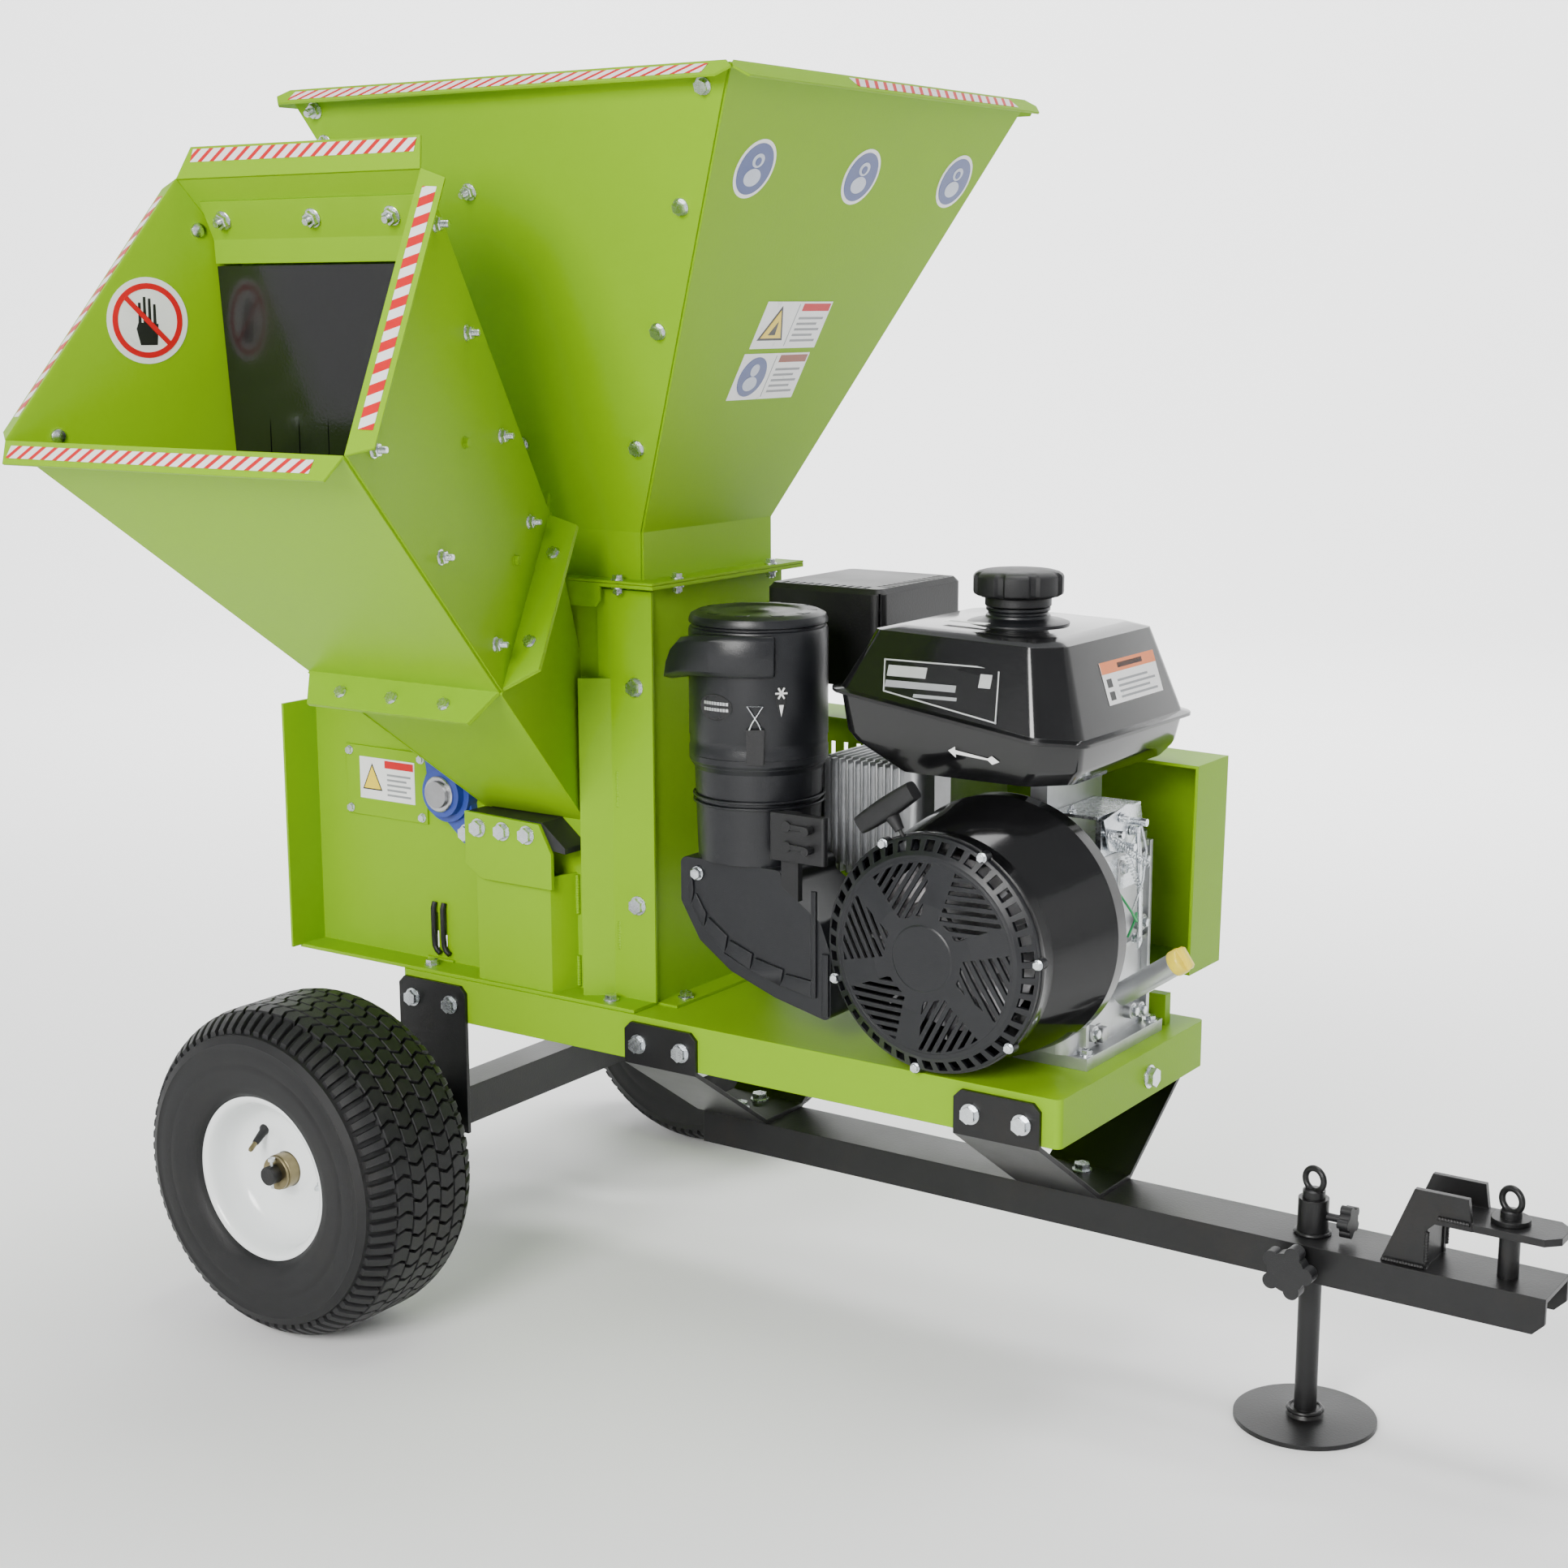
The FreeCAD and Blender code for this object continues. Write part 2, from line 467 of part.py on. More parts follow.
def make_drive():
    y0, y1 = BELT_Y - 15, BELT_Y + 15
    nodes["rotor_pulley"] = grooved_pulley((0, ROTOR_Z), PULLEY_R, 19.02, y0, y1)
    nodes["engine_clutch"] = grooved_pulley((CRANK_X, CRANK_Z), CLUTCH_R, 14.02, y0, y1)

    run = V(CRANK_X, 0, CRANK_Z) - V(0, 0, ROTOR_Z)
    length = run.Length
    u = V(run).normalize()
    w = V(-u.z, 0, u.x)

    def loop(inset):
        big, small = PULLEY_R - inset, CLUTCH_R - inset
        lean = math.asin((big - small) / length)
        middle = V(0, BELT_Y - BELT_W / 2, ROTOR_Z)
        points = []
        for side in (1, -1):
            out = u * math.sin(lean) + w * (side * math.cos(lean))
            points.append((middle + out * big, middle + run + out * small))
        (a, b), (d, c) = points
        edges = [Part.LineSegment(a, b).toShape(), Part.Arc(b, middle + run + u * small, c).toShape(),
                 Part.LineSegment(c, d).toShape(), Part.Arc(d, middle - u * big, a).toShape()]
        return Part.Face(Part.Wire(edges)).extrude(V(0, BELT_W, 0))

    nodes["drive_belt"] = loop(0).cut(loop(BELT_T))

    outline = [(-125, 560), (1006, 500), (1010, 782), (-125, 806)]
    back = plate_xz(outline, 246, 249)
    hollow = [(-121, 564), (1002, 504), (1006, 778), (-121, 802)]
    rim_line = plate_xz(outline, HOUSING_HALF, 246).cut(plate_xz(hollow, HOUSING_HALF - 1, 247))
    vents = [box(x, x + 8, 245, 250, 640, 740) for x in range(380, 620, 22)]
    nodes["belt_guard"] = fuse([back, rim_line]).cut(group(vents))


# ---------------------------------------------------------------- hopper
def hopper_corner(sx, sy, z):
    """Inner corner of the hopper at height z; sx and sy are -1 or 1."""
    share = max(0.0, (z - NECK_Z1) / (HOPPER_TOP - NECK_Z1))
    low, high = (NECK_X0, HOPPER_X0) if sx < 0 else (NECK_X1, HOPPER_X1)
    return V(low + (high - low) * share, sy * (NECK_HALF + (HOPPER_HALF - NECK_HALF) * share), z)


def frame_corner(sx, sy):
    return V(FRAME_X[0] if sx < 0 else FRAME_X[1], sy * FRAME_HALF, NECK_Z0)


def hopper_panel(corner_a, corner_b, outward):
    """One folded panel: neck strip, sloping face and a lip that turns down and out."""
    a0, b0 = hopper_corner(*corner_a, NECK_Z0), hopper_corner(*corner_b, NECK_Z0)
    a1, b1 = hopper_corner(*corner_a, NECK_Z1), hopper_corner(*corner_b, NECK_Z1)
    a2, b2 = hopper_corner(*corner_a, HOPPER_TOP), hopper_corner(*corner_b, HOPPER_TOP)
    out = V(*outward)
    inward_a = (b2 - a2).normalize()
    a2, b2 = a2 + inward_a * 4, b2 - inward_a * 4
    lip_a = a2 + out * LIP * 0.8 - Z * LIP * 0.6
    lip_b = b2 + out * LIP * 0.8 - Z * LIP * 0.6
    clip = 24.0
    lip = [a2, b2, b2 + (lip_b - b2) * 0.45 + inward_a * clip * 0.6, lip_b, lip_a,
           a2 + (lip_a - a2) * 0.45 - inward_a * clip * 0.6]
    flange = [a0, b0, frame_corner(*corner_b), frame_corner(*corner_a)]
    top_a, top_b = hopper_corner(*corner_a, HOPPER_TOP), hopper_corner(*corner_b, HOPPER_TOP)
    parts = [slab([a0, b0, b1, a1], outward, SHEET), slab([a1, b1, top_b, top_a], outward, SHEET),
             slab(lip, (0, 0, 1), SHEET), slab(flange, (0, 0, -1), 3.5)]
    return fuse(parts)


def seam_bolts(sx, sy):
    """Bolt places down one corner of the hopper, in the side panel."""
    places = []
    for z in SEAM_BOLT_Z:
        corner = hopper_corner(sx, sy, z)
        into = V(0, -sy, (HOPPER_HALF - NECK_HALF) / (HOPPER_TOP - NECK_Z1)).normalize()
        places.append((tuple(corner + V(-sx * SEAM_BOLT_IN, 0, 0) - into * SHEET), tuple(into)))
    return places


def make_hopper():
    near = hopper_panel((-1, -1), (1, -1), (0, -1, 0))
    nodes["hopper_side_panels"] = group([near, mirror_y(near)])
    front = hopper_panel((1, -1), (1, 1), (1, 0, 0))
    rear = hopper_panel((-1, 1), (-1, -1), (-1, 0, 0))
    flanges = {1: [front], -1: [rear]}
    for sx, panel in flanges.items():
        for sy in (-1, 1):
            low, high = hopper_corner(sx, sy, NECK_Z1 + 12), hopper_corner(sx, sy, HOPPER_TOP - 14)
            into = V(0, -sy, (HOPPER_HALF - NECK_HALF) / (HOPPER_TOP - NECK_Z1)).normalize() * SEAM_GAP
            low, high, inside = low + into + V(sx, 0, 0), high + into + V(sx, 0, 0), V(-sx * 48, 0, 0)
            strip = [low, high, high + inside, low + inside]
            panel.append(slab(strip, (0, -sy, 0), SHEET))
    nodes["hopper_end_panels"] = group([fuse(flanges[1]), fuse(flanges[-1])])


# ---------------------------------------------------------------- chute
TILT = math.radians(CHUTE_TILT)
CHUTE_AXIS = V(0, math.cos(TILT), -math.sin(TILT))
CHUTE_UP = V(0, math.sin(TILT), math.cos(TILT))


def chute_point(across, along, up):
    return V(CHUTE_X + across, MOUTH_Y, MOUTH_Z) + CHUTE_AXIS * along + CHUTE_UP * up


def wall_point(side, along, up):
    """A point on the flat inner face of one side wall."""
    return chute_point(side * (MOUTH_HALF - NARROWING_ALONG * along - NARROWING_UP * up), along, up)


def wall_on_housing(side, z):
    """Where a side wall's inner face meets the near housing plate at height z."""
    dy, dz = -HOUSING_HALF - MOUTH_Y, z - MOUTH_Z
    reach = V(0, dy, dz)
    return wall_point(side, reach.dot(CHUTE_AXIS), reach.dot(CHUTE_UP))


def wall_outward(side):
    return V(side, 0, 0) + CHUTE_AXIS * NARROWING_ALONG + CHUTE_UP * NARROWING_UP


def chute_corners(side):
    """Mouth bottom, joint bottom, joint top and mouth top corners of one side wall."""
    return [wall_point(side, 0, 0), wall_point(side, JOINT_S, 0), wall_point(side, JOINT_S, JOINT_H),
            wall_point(side, MOUTH_LEAN, MOUTH_H)]


def edge_strip(a, b, out, width, clip, thickness, towards):
    """Folded strip along the edge a-b, `width` wide towards `out`, with its outer corners clipped."""
    along = (b - a).normalize()
    corners = [a, b, b + out * width - along * clip, a + out * width + along * clip]
    return slab(corners, towards, thickness)


def joint_outward(side):
    """Direction of a side flange, square to the chute's axis."""
    return (V(side, 0, 0) + CHUTE_UP * NARROWING_UP).normalize()


def lip_direction(edge, outward):
    """Lips lean back a little from the mouth's plane."""
    across = outward - edge * outward.dot(edge)
    return (across.normalize() + CHUTE_AXIS * LIP_LEAN).normalize()


def make_chute():
    walls = {side: chute_corners(side) for side in (-1, 1)}
    left, right = walls[-1], walls[1]
    rolled = -CHUTE_AXIS

    sides = []
    for side in (-1, 1):
        a, b, c, d = walls[side]
        out = wall_outward(side).normalize()
        edge = (d - a).normalize()
        lip = edge_strip(a, d, lip_direction(edge, out), 32, 12, SHEET, rolled)
        flange = edge_strip(b, c, joint_outward(side), JOINT_FLANGE, 26, SHEET, rolled)
        sides.append(fuse([slab([a, b, c, d], tuple(out), SHEET), lip, flange]))
    nodes["chute_sides"] = group(sides)

    down, up = CHUTE_UP * -1, CHUTE_UP
    floor = fuse([slab([left[0], right[0], right[1], left[1]], down, SHEET),
                  edge_strip(left[0], right[0], lip_direction(X, down), 32, 14, SHEET, rolled),
                  edge_strip(left[1], right[1], down, JOINT_FLANGE, 26, SHEET, rolled)])
    nodes["chute_floor"] = floor
    top = fuse([slab([left[3], right[3], right[2], left[2]], up, SHEET),
                edge_strip(left[3], right[3], CHUTE_UP * 0.95 - CHUTE_AXIS * 0.31, 42, 12, SHEET, rolled),
                edge_strip(left[2], right[2], up, 34, 16, SHEET, rolled)])
    nodes["chute_top"] = top

    low = {s: walls[s][1] for s in (-1, 1)}
    high = {s: walls[s][2] for s in (-1, 1)}
    foot = {s: wall_on_housing(s, THROAT_Z0 - 2.5) for s in (-1, 1)}
    head = {s: wall_on_housing(s, THROAT_Z1) for s in (-1, 1)}
    lap = {s: X * (s * SHEET * 0.7) for s in (-1, 1)}
    pieces = [slab([low[-1] + lap[-1], low[1] + lap[1], foot[1] + lap[1], foot[-1] + lap[-1]], (0, -1, -1),
                   SHEET),
              slab([high[-1] + lap[-1], high[1] + lap[1], head[1] + lap[1], head[-1] + lap[-1]], (0, 1, 1),
                   SHEET),
              edge_strip(low[-1], low[1], down, JOINT_FLANGE, 26, SHEET, CHUTE_AXIS),
              edge_strip(high[-1], high[1], up, 34, 16, SHEET, CHUTE_AXIS)]
    for s in (-1, 1):
        wall = [wall_point(s, JOINT_S, -5), wall_point(s, JOINT_S, JOINT_H + 5),
                wall_on_housing(s, THROAT_Z1 + 7), wall_on_housing(s, THROAT_Z0 - 8)]
        pieces.append(slab(wall, (s, 0, 0), SHEET))
        pieces.append(edge_strip(low[s], high[s], joint_outward(s), JOINT_FLANGE, 26, SHEET, CHUTE_AXIS))
    beyond = box(-200, 500, -HOUSING_HALF, 100, 500, 1200)
    big = [chute_point(x, JOINT_S, z) for x, z in ((-400, -200), (400, -200), (400, 500), (-400, 500))]
    nodes["chute_transition"] = fuse(pieces).cut(beyond).cut(slab(big, CHUTE_AXIS * -1, 200))
    nodes["bed_knife"] = nodes["bed_knife"].cut(nodes["chute_transition"])
    below_joint = slab(big, CHUTE_AXIS, 200)
    for name in ("chute_sides", "chute_floor", "chute_top"):
        nodes[name] = nodes[name].cut(below_joint)

    mouth_top, joint_top = chute_point(0, MOUTH_LEAN, MOUTH_H), chute_point(0, JOINT_S, JOINT_H)
    rim_end = mouth_top + (joint_top - mouth_top).normalize() * 32
    line = [(CURTAIN_Y, CURTAIN_TOP), (CURTAIN_Y - 2, CURTAIN_TOP + 30), (rim_end.y, rim_end.z)]
    strip = plate_yz(ribbon(line, 3), CHUTE_X - CURTAIN_HALF - 3, CHUTE_X + CURTAIN_HALF + 3)
    nodes["curtain_clamp"] = strip.cut(group([nodes["chute_top"], nodes["chute_sides"]]))
    outline = [(-CURTAIN_HALF, CURTAIN_TOP - 3), (CURTAIN_HALF, CURTAIN_TOP - 3),
               (CURTAIN_FOOT_HALF, CURTAIN_FOOT), (-CURTAIN_FOOT_HALF, CURTAIN_FOOT)]
    curtain = plate_xz([(CHUTE_X + x, z) for x, z in outline], CURTAIN_Y - 4, CURTAIN_Y + 1)
    slits = [box(CHUTE_X + x - 1, CHUTE_X + x + 1, CURTAIN_Y - 5, CURTAIN_Y + 2, CURTAIN_FOOT - 1, 1230)
             for x in (-100, -50, 0, 50, 100)]
    nodes["curtain"] = curtain.cut(group(slits))


# ---------------------------------------------------------------- engine
def rounded_box(x0, x1, y0, y1, z0, z1, radius):
    shape = box(x0, x1, y0, y1, z0, z1)
    edges = [e for e in shape.Edges if abs(e.tangentAt(e.FirstParameter).z) > 0.9]
    return shape.makeFillet(radius, edges)


def make_engine_block():
    block = rounded_box(712, 962, BLOWER_BACK, 126, TRAY_TOP + 16, 700, 24)
    foot = box(690, 981, -86, 129, TRAY_TOP, TRAY_TOP + 16)
    cylinder = rounded_box(566, 716, -58, 104, 640, 778, 14)
    head = rounded_box(536, 566, -50, 96, 650, 770, 10)
    filler = rod((964, 34, 496), V(0.82, 0, 0.57), 15, 92)
    rests = [box(x, x + 24, -60, 90, 698, TANK_Z0) for x in (740, 880)]
    bore = rod((CRANK_X, -100, CRANK_Z), Y, 14 + RUNNING_GAP, 240)
    mouth = rod(tuple(V(964, 34, 496) + V(0.82, 0, 0.57).normalize() * 60), V(0.82, 0, 0.57), 9.06, 40)
    nodes["crankcase"] = fuse([block, foot, cylinder, head, filler] + rests).cut(bore).cut(mouth)

    crank = rod((CRANK_X, -196, CRANK_Z), Y, 14, 430)
    fan = ring((CRANK_X, -150, CRANK_Z), Y, 112, 14.0, 34)
    fins = []
    for i in range(16):
        fin = box(CRANK_X + 70, CRANK_X + 118, -176, -150, CRANK_Z - 2, CRANK_Z + 2)
        fin.rotate(V(CRANK_X, 0, CRANK_Z), Y, i * 22.5)
        fins.append(fin)
    nodes["crankshaft"] = fuse([crank, fan] + fins)


def blower_shell(shrink):
    """Loft from the round front rim to the wider scroll at the back."""
    front, back = 150.0 - shrink, 165.0 - shrink
    circles = []
    for cx, cz, r, y in ((CRANK_X, CRANK_Z, front, -200.0 - (1 if shrink else 0)),
                         (CRANK_X, CRANK_Z, front, -178.0),
                         (868.0, 608.0, back, -112.0), (868.0, 608.0, back, BLOWER_BACK)):
        circles.append(Part.Wire(Part.makeCircle(r, V(cx, y, cz), Y)))
    return Part.makeLoft(circles, True, True)


def make_blower():
    back = box(690, 1040, BLOWER_BACK - 3, BLOWER_BACK, 430, 790)
    shell = blower_shell(0).cut(blower_shell(3.0).cut(back))
    hole = rod((CRANK_X, -100, CRANK_Z), Y, 40, 20)
    nodes["blower_housing"] = shell.cut(hole)

    profile = [(0, -236), (70, -236), (128, -228), (150, -214), (150, -200), (146, -200), (146, -211),
               (126, -224), (70, -232), (0, -232)]
    cover = turned(profile, (CRANK_X, 0, CRANK_Z), Y)
    middle = V(CRANK_X, 0, CRANK_Z)
    slots = []
    for sector in range(6):
        wedge = ring((CRANK_X, -242, CRANK_Z), Y, 119, 54, 40).common(
            plate_xz([(CRANK_X + 20, CRANK_Z), (CRANK_X + 140, CRANK_Z - 58), (CRANK_X + 140, CRANK_Z + 58)],
                     -241, -203))
        rows = [box(CRANK_X + 30, CRANK_X + 150, -240, -204, CRANK_Z + 11 * i - 2.6, CRANK_Z + 11 * i + 2.6)
                for i in range(-6, 7)]
        for row in rows:
            row.rotate(middle + X * 88, Y, 48)
        cut = group(rows).common(wedge)
        cut.rotate(middle, Y, 60 * sector + 12)
        slots.append(cut)
    for i in range(44):
        vent = box(CRANK_X + 133, CRANK_X + 146, -240, -203, CRANK_Z - 6, CRANK_Z + 6)
        vent.rotate(middle, Y, 360 * i / 44)
        slots.append(vent)
    pull = V(-0.57, 0, 0.82).normalize()
    guide = V(793, -207, 714)
    passage = rod(tuple(guide - pull * 40), pull, 5, 90)
    nodes["recoil_cover"] = cover.cut(group(slots)).cut(passage)

    bar_at = guide + pull * 58
    along = V(pull.z, 0, -pull.x)
    bar = rod(tuple(bar_at - along * 46), along, 12, 92)
    neck = Part.makeCone(6, 10, 22, bar_at - pull * 30, pull)
    rope = rod(tuple(guide - pull * 130), pull, 2.5, 162)
    nodes["pull_handle"] = fuse([bar, neck, rope])


def tank_outline(x0, x1, y0, y1, rear_z, front_z, shrink=1.0):
    """Closed line round the tank with clipped corners, rising towards the rear when rear_z is higher."""
    slope = (front_z - rear_z) / (x1 - x0)
    near_rear, near_front, far_front, far_rear = (clip * shrink for clip in TANK_CLIPS)
    corners = [(x0 + near_rear, y0), (x1 - near_front, y0), (x1, y0 + near_front), (x1, y1 - far_front),
               (x1 - far_front, y1), (x0 + far_rear, y1), (x0, y1 - far_rear), (x0, y0 + near_rear)]
    points = [V(x, y, rear_z + slope * (x - x0)) for x, y in corners]
    return Part.makePolygon(points + points[:1])


def make_tank():
    x0, x1 = TANK_X
    y0, y1 = TANK_Y
    rear, front = TANK_SEAM
    seam = tank_outline(x0, x1, y0, y1, rear, front)
    lower = [tank_outline(x0 + 80, x1 - 20, y0 + 18, y1 - 20, TANK_Z0, TANK_Z0),
             tank_outline(x0 + 7, x1 - 7, y0 + 8, y1 - 8, rear - 58, front - 38), seam]
    upper = [seam, tank_outline(x0 + 35, x1 - 37, y0 + 34, y1 - 30, TANK_TOP, TANK_TOP - 10, 0.75),
             tank_outline(x0 + 57, x1 - 60, y0 + 56, y1 - 52, TANK_TOP + 6, TANK_TOP - 2, 0.75)]
    lip = 9
    flange = [tank_outline(x0 - lip, x1 + lip, y0 - lip, y1 + lip, rear + z, front + z, 1.1)
              for z in (-2, 2)]
    cap_x, cap_y = CAP
    neck = rod((cap_x, cap_y, TANK_TOP - 4), Z, 40, 26)
    shell = fuse([Part.makeLoft(wires, True, True) for wires in (lower, upper, flange)] + [neck])
    hollow = fuse([box(x0 + 90, x1 - 55, y0 + 48, y1 - 50, TANK_Z0 + 6, TANK_TOP - 15),
                   rod((cap_x, cap_y, TANK_TOP - 20), Z, 34, 60)])
    nodes["fuel_tank"] = shell.cut(hollow)
    cap = [(0, 0), (41.5, 0), (41.5, 14), (58, 14), (58, 40), (50, 47), (0, 50)]
    skirt = [(0, -8), (33.6, -8), (33.6, 0), (0, 0)]
    top = TANK_TOP + 22.3
    nodes["fuel_cap"] = fuse([turned(cap, (cap_x, cap_y, top), Z), turned(skirt, (cap_x, cap_y, top), Z)])


def make_exhaust_and_air():
    x0, x1, y0, y1, z0, z1 = 426, 613, 10, 226, 868, 1000
    outer = rounded_box(x0, x1, y0, y1, z0, z1, 16)
    outer = outer.makeChamfer(7, [e for e in outer.Edges if e.BoundBox.ZMin > z1 - 0.1])
    inner = box(x0 + 4, x1 - 4, y0 + 4, y1 - 4, z0 - 1, z1 - 6)
    near_slots = [box(x0 + step, x0 + step + 6, y0 + 9, y0 + 27, z1 - 7, z1 + 1)
                  for step in range(21, 160, 13)]
    side_slots = [box(x1 - 29, x1 - 9, y0 + step, y0 + step + 6, z1 - 7, z1 + 1)
                  for step in range(35, 200, 13)]
    rests = [rod((x, y0 + 3, 925), Y, 5, 11) for x in (x0 + 46, x1 - 44)]
    nodes["muffler_guard"] = fuse([outer.cut(group([inner] + near_slots + side_slots))] + rests)
    can = rounded_box(x0 + 16, x1 - 10, y0 + 14, y1 - 12, 884, 968, 26)
    hollow = box(x0 + 20, x1 - 14, y0 + 18, y1 - 16, 888, 964)
    pipe = [rod((582, 104.2, 752), Y, 14, 32), rod((582, 136, 734), Z, 17, 151)]
    bore = [rod((582, 103, 752), Y, 11, 33), rod((582, 136, 738), Z, 13.5, 155)]
    nodes["muffler"] = fuse([can.cut(hollow)] + pipe).cut(group(bore))

    centre = (520, -140, 0)
    canister = [(0, 985), (80, 985), (91, 976), (91, 800), (86, 800), (86, 970), (0, 978)]
    hood = plate_xz([(428, 960), (520, 968), (520, 905), (448, 905), (402, 884), (404, 905)], -236, -60)
    hood = hood.cut(rod((520, -140, 860), Z, 91.5, 150))
    wall = turned([(92, 968), (96, 968), (96, 906), (92, 906)], centre, Z)
    front_half = box(400, 520, -240, -60, 880, 990)
    nodes["air_cleaner"] = turned(canister, centre, Z)
    nodes["rain_hood"] = fuse([hood, wall.common(front_half)])

    body = turned([(0, 800), (91, 800), (91, 792), (84, 780), (80, 660), (0, 660)], centre, Z)
    inlet = rod((551, -80, 715), Y, 22, 30)
    elbow = plate_xz([(440, 660), (440, 600), (470, 550), (520, 515), (590, 490), (676, 470), (676, 560),
                      (660, 600), (600, 640), (600, 660)], -206, -78)
    edges = [e for e in elbow.Edges if e.Length > 120 and abs(e.tangentAt(e.FirstParameter).y) > 0.9]
    elbow = elbow.makeFillet(10, edges)
    inside = turned([(0, 801), (74, 801), (74, 664), (0, 664)], centre, Z)
    clear_drum = rod((CRANK_X, -240, CRANK_Z), Y, 151.5, 200)
    nodes["intake_elbow"] = fuse([body, elbow, inlet]).cut(group([inside, clear_drum, nodes["crankcase"]]))


def make_controls():
    panel = rounded_box(588, 672, -216, -204, 676, 738, 4)
    arm = box(600, 626, -206, -196, 590, 738)
    nodes["control_panel"] = fuse([panel, arm]).cut(nodes["intake_elbow"])
    for name, z in (("throttle_lever", 722), ("choke_lever", 696)):
        lever = plate_xz([(612, z - 4), (656, z - 2.5), (656, z + 2.5), (612, z + 4)], -219.3, -216.3)
        grip = rod((653, -232, z), Y, 5.5, 12.8)
        nodes[name] = fuse([lever, grip, rod((LEVER_X, -219.8, z), Y, 7, 3.5)])
    base = [box(962, 970, -40, 60, 640, 742), box(905, 970, -50, 70, 742, 746)]
    spring_posts = [rod((970, y, z), X, 5, 24) for y, z in ((-26, 722), (8, 700), (40, 726))]
    nodes["governor_bracket"] = fuse(base + spring_posts)
    slope = V(0.82, 0, 0.57).normalize()
    tip = V(964, 34, 496) + slope * 92
    stem = rod(tuple(tip - slope * 30), slope, 9, 31)
    cap = rod(tuple(tip + slope * 0.3), slope, 17, 24)
    nodes["dipstick"] = fuse([cap, stem, box(tip.x + 12, tip.x + 34, 30, 38, tip.z + 4, tip.z + 26)])


# ---------------------------------------------------------------- fasteners
def make_fasteners():
    chassis, body = [], []
    outside = TRAY_HALF + BRACKET_SHEET
    edge_places = []
    for x0, x1 in (REAR_BRACKET_X, MID_BRACKET_X, FRONT_BRACKET_X):
        middle = (x0 + x1) / 2
        for dx in (-36, 36):
            for side in (-1, 1):
                edge_places.append(((middle + dx, side * outside, 390), (0, -side, 0)))
    drill_nodes(["axle_hangers", "cross_members", "base_tray"], edge_places, 12, 30)
    chassis += [bolt(at, along, BRACKET_SHEET + TRAY_SHEET, 12) for at, along in edge_places]

    bar_places = []
    for x0, x1 in (MID_BRACKET_X, FRONT_BRACKET_X):
        for y in (-24, 24):
            bar_places.append((((x0 + x1) / 2, y, BAR_Z1 + BRACKET_SHEET), (0, 0, -1)))
    drill_nodes(["cross_members", "drawbar"], bar_places, 12, 40)
    chassis += [bolt(at, along, BRACKET_SHEET + BAR_WALL, 12) for at, along in bar_places]

    front_place = [((TRAY_X1, 39, 393), (-1, 0, 0))]
    drill_nodes(["base_tray"], front_place, 14, 30)
    chassis.append(bolt(*front_place[0], TRAY_SHEET, 14))

    engine_places = [((x, y, TRAY_TOP + 16), (0, 0, -1)) for x in (701, 972) for y in (-70, 112)]
    drill_nodes(["base_tray", "crankcase"], engine_places, 8, 60)
    chassis += [bolt(at, along, 16 + TRAY_SHEET, 8) for at, along in engine_places]

    for side in (-1, 1):
        y = side * (WHEEL_Y + 61.5)
        chassis.append(ring((0, y, TYRE_R), Y * side, 22, SPINDLE_R + 0.1, 3))
        pin_y = side * COTTER_Y
        chassis.append(fuse([rod((0, pin_y, TYRE_R - 19), Z, 2.4, 38),
                             rod((0, pin_y, TYRE_R + 19), Z, 5, 4)]))
    nodes["chassis_fasteners"] = group(chassis)

    foot_places = []
    for x in (-30, 150, 300):
        for side in (-1, 1):
            foot_places.append(((x, side * 182, TRAY_TOP + 5), (0, 0, -1)))
    drill_nodes(["housing_near_plate", "housing_far_plate", "base_tray"], foot_places, 10, 40)
    body += [bolt(at, along, 5 + TRAY_SHEET, 10) for at, along in foot_places]
    front_places = [((374, y, TRAY_TOP + 4), (0, 0, -1)) for y in (-110, 110)]
    drill_nodes(["housing_front_plate", "base_tray"], front_places, 10, 40)
    body += [bolt(at, along, 4 + TRAY_SHEET, 10) for at, along in front_places]

    neck_places = []
    for x in (202, 312):
        for side in (-1, 1):
            neck_places.append(((x, side * (FRAME_HALF - 9), NECK_Z0), (0, 0, -1)))
    for y in (-110, 110):
        neck_places.append(((FRAME_X[1] - 10, y, NECK_Z0), (0, 0, -1)))
    drill_nodes(["hopper_side_panels", "hopper_end_panels", "neck_frame"], neck_places, 8, 26)
    body += [bolt(at, along, NECK_Z0 - HOUSING_TOP, 8) for at, along in neck_places]

    for sx in (-1, 1):
        for sy in (-1, 1):
            places = seam_bolts(sx, sy)
            drill_nodes(["hopper_side_panels", "hopper_end_panels"], places, 10, 24)
            body += [bolt(at, along, 2 * SHEET + SEAM_GAP, 10) for at, along in places]

    joint_places = []
    for x in (-90, 0, 90):
        at = chute_point(x, JOINT_S - SHEET, -30)
        joint_places.append((tuple(at), tuple(CHUTE_AXIS)))
    for side in (-1, 1):
        _, b, c, _ = chute_corners(side)
        for share in (0.25, 0.75):
            at = b + (c - b) * share + joint_outward(side) * 28 - CHUTE_AXIS * SHEET
            joint_places.append((tuple(at), tuple(CHUTE_AXIS)))
    drill_nodes(["chute_floor", "chute_sides", "chute_top", "chute_transition"], joint_places, 8, 24)
    body += [bolt(at, along, 2 * SHEET, 8) for at, along in joint_places]

    strip_places = [((HOUSING_X1 - 23, -HOUSING_HALF - 4, z), (0, 1, 0)) for z in (567, 868)]
    drill_nodes(["housing_near_plate"], strip_places, 12, 40)
    body += [bolt(at, along, 4 + PLATE, 12) for at, along in strip_places]

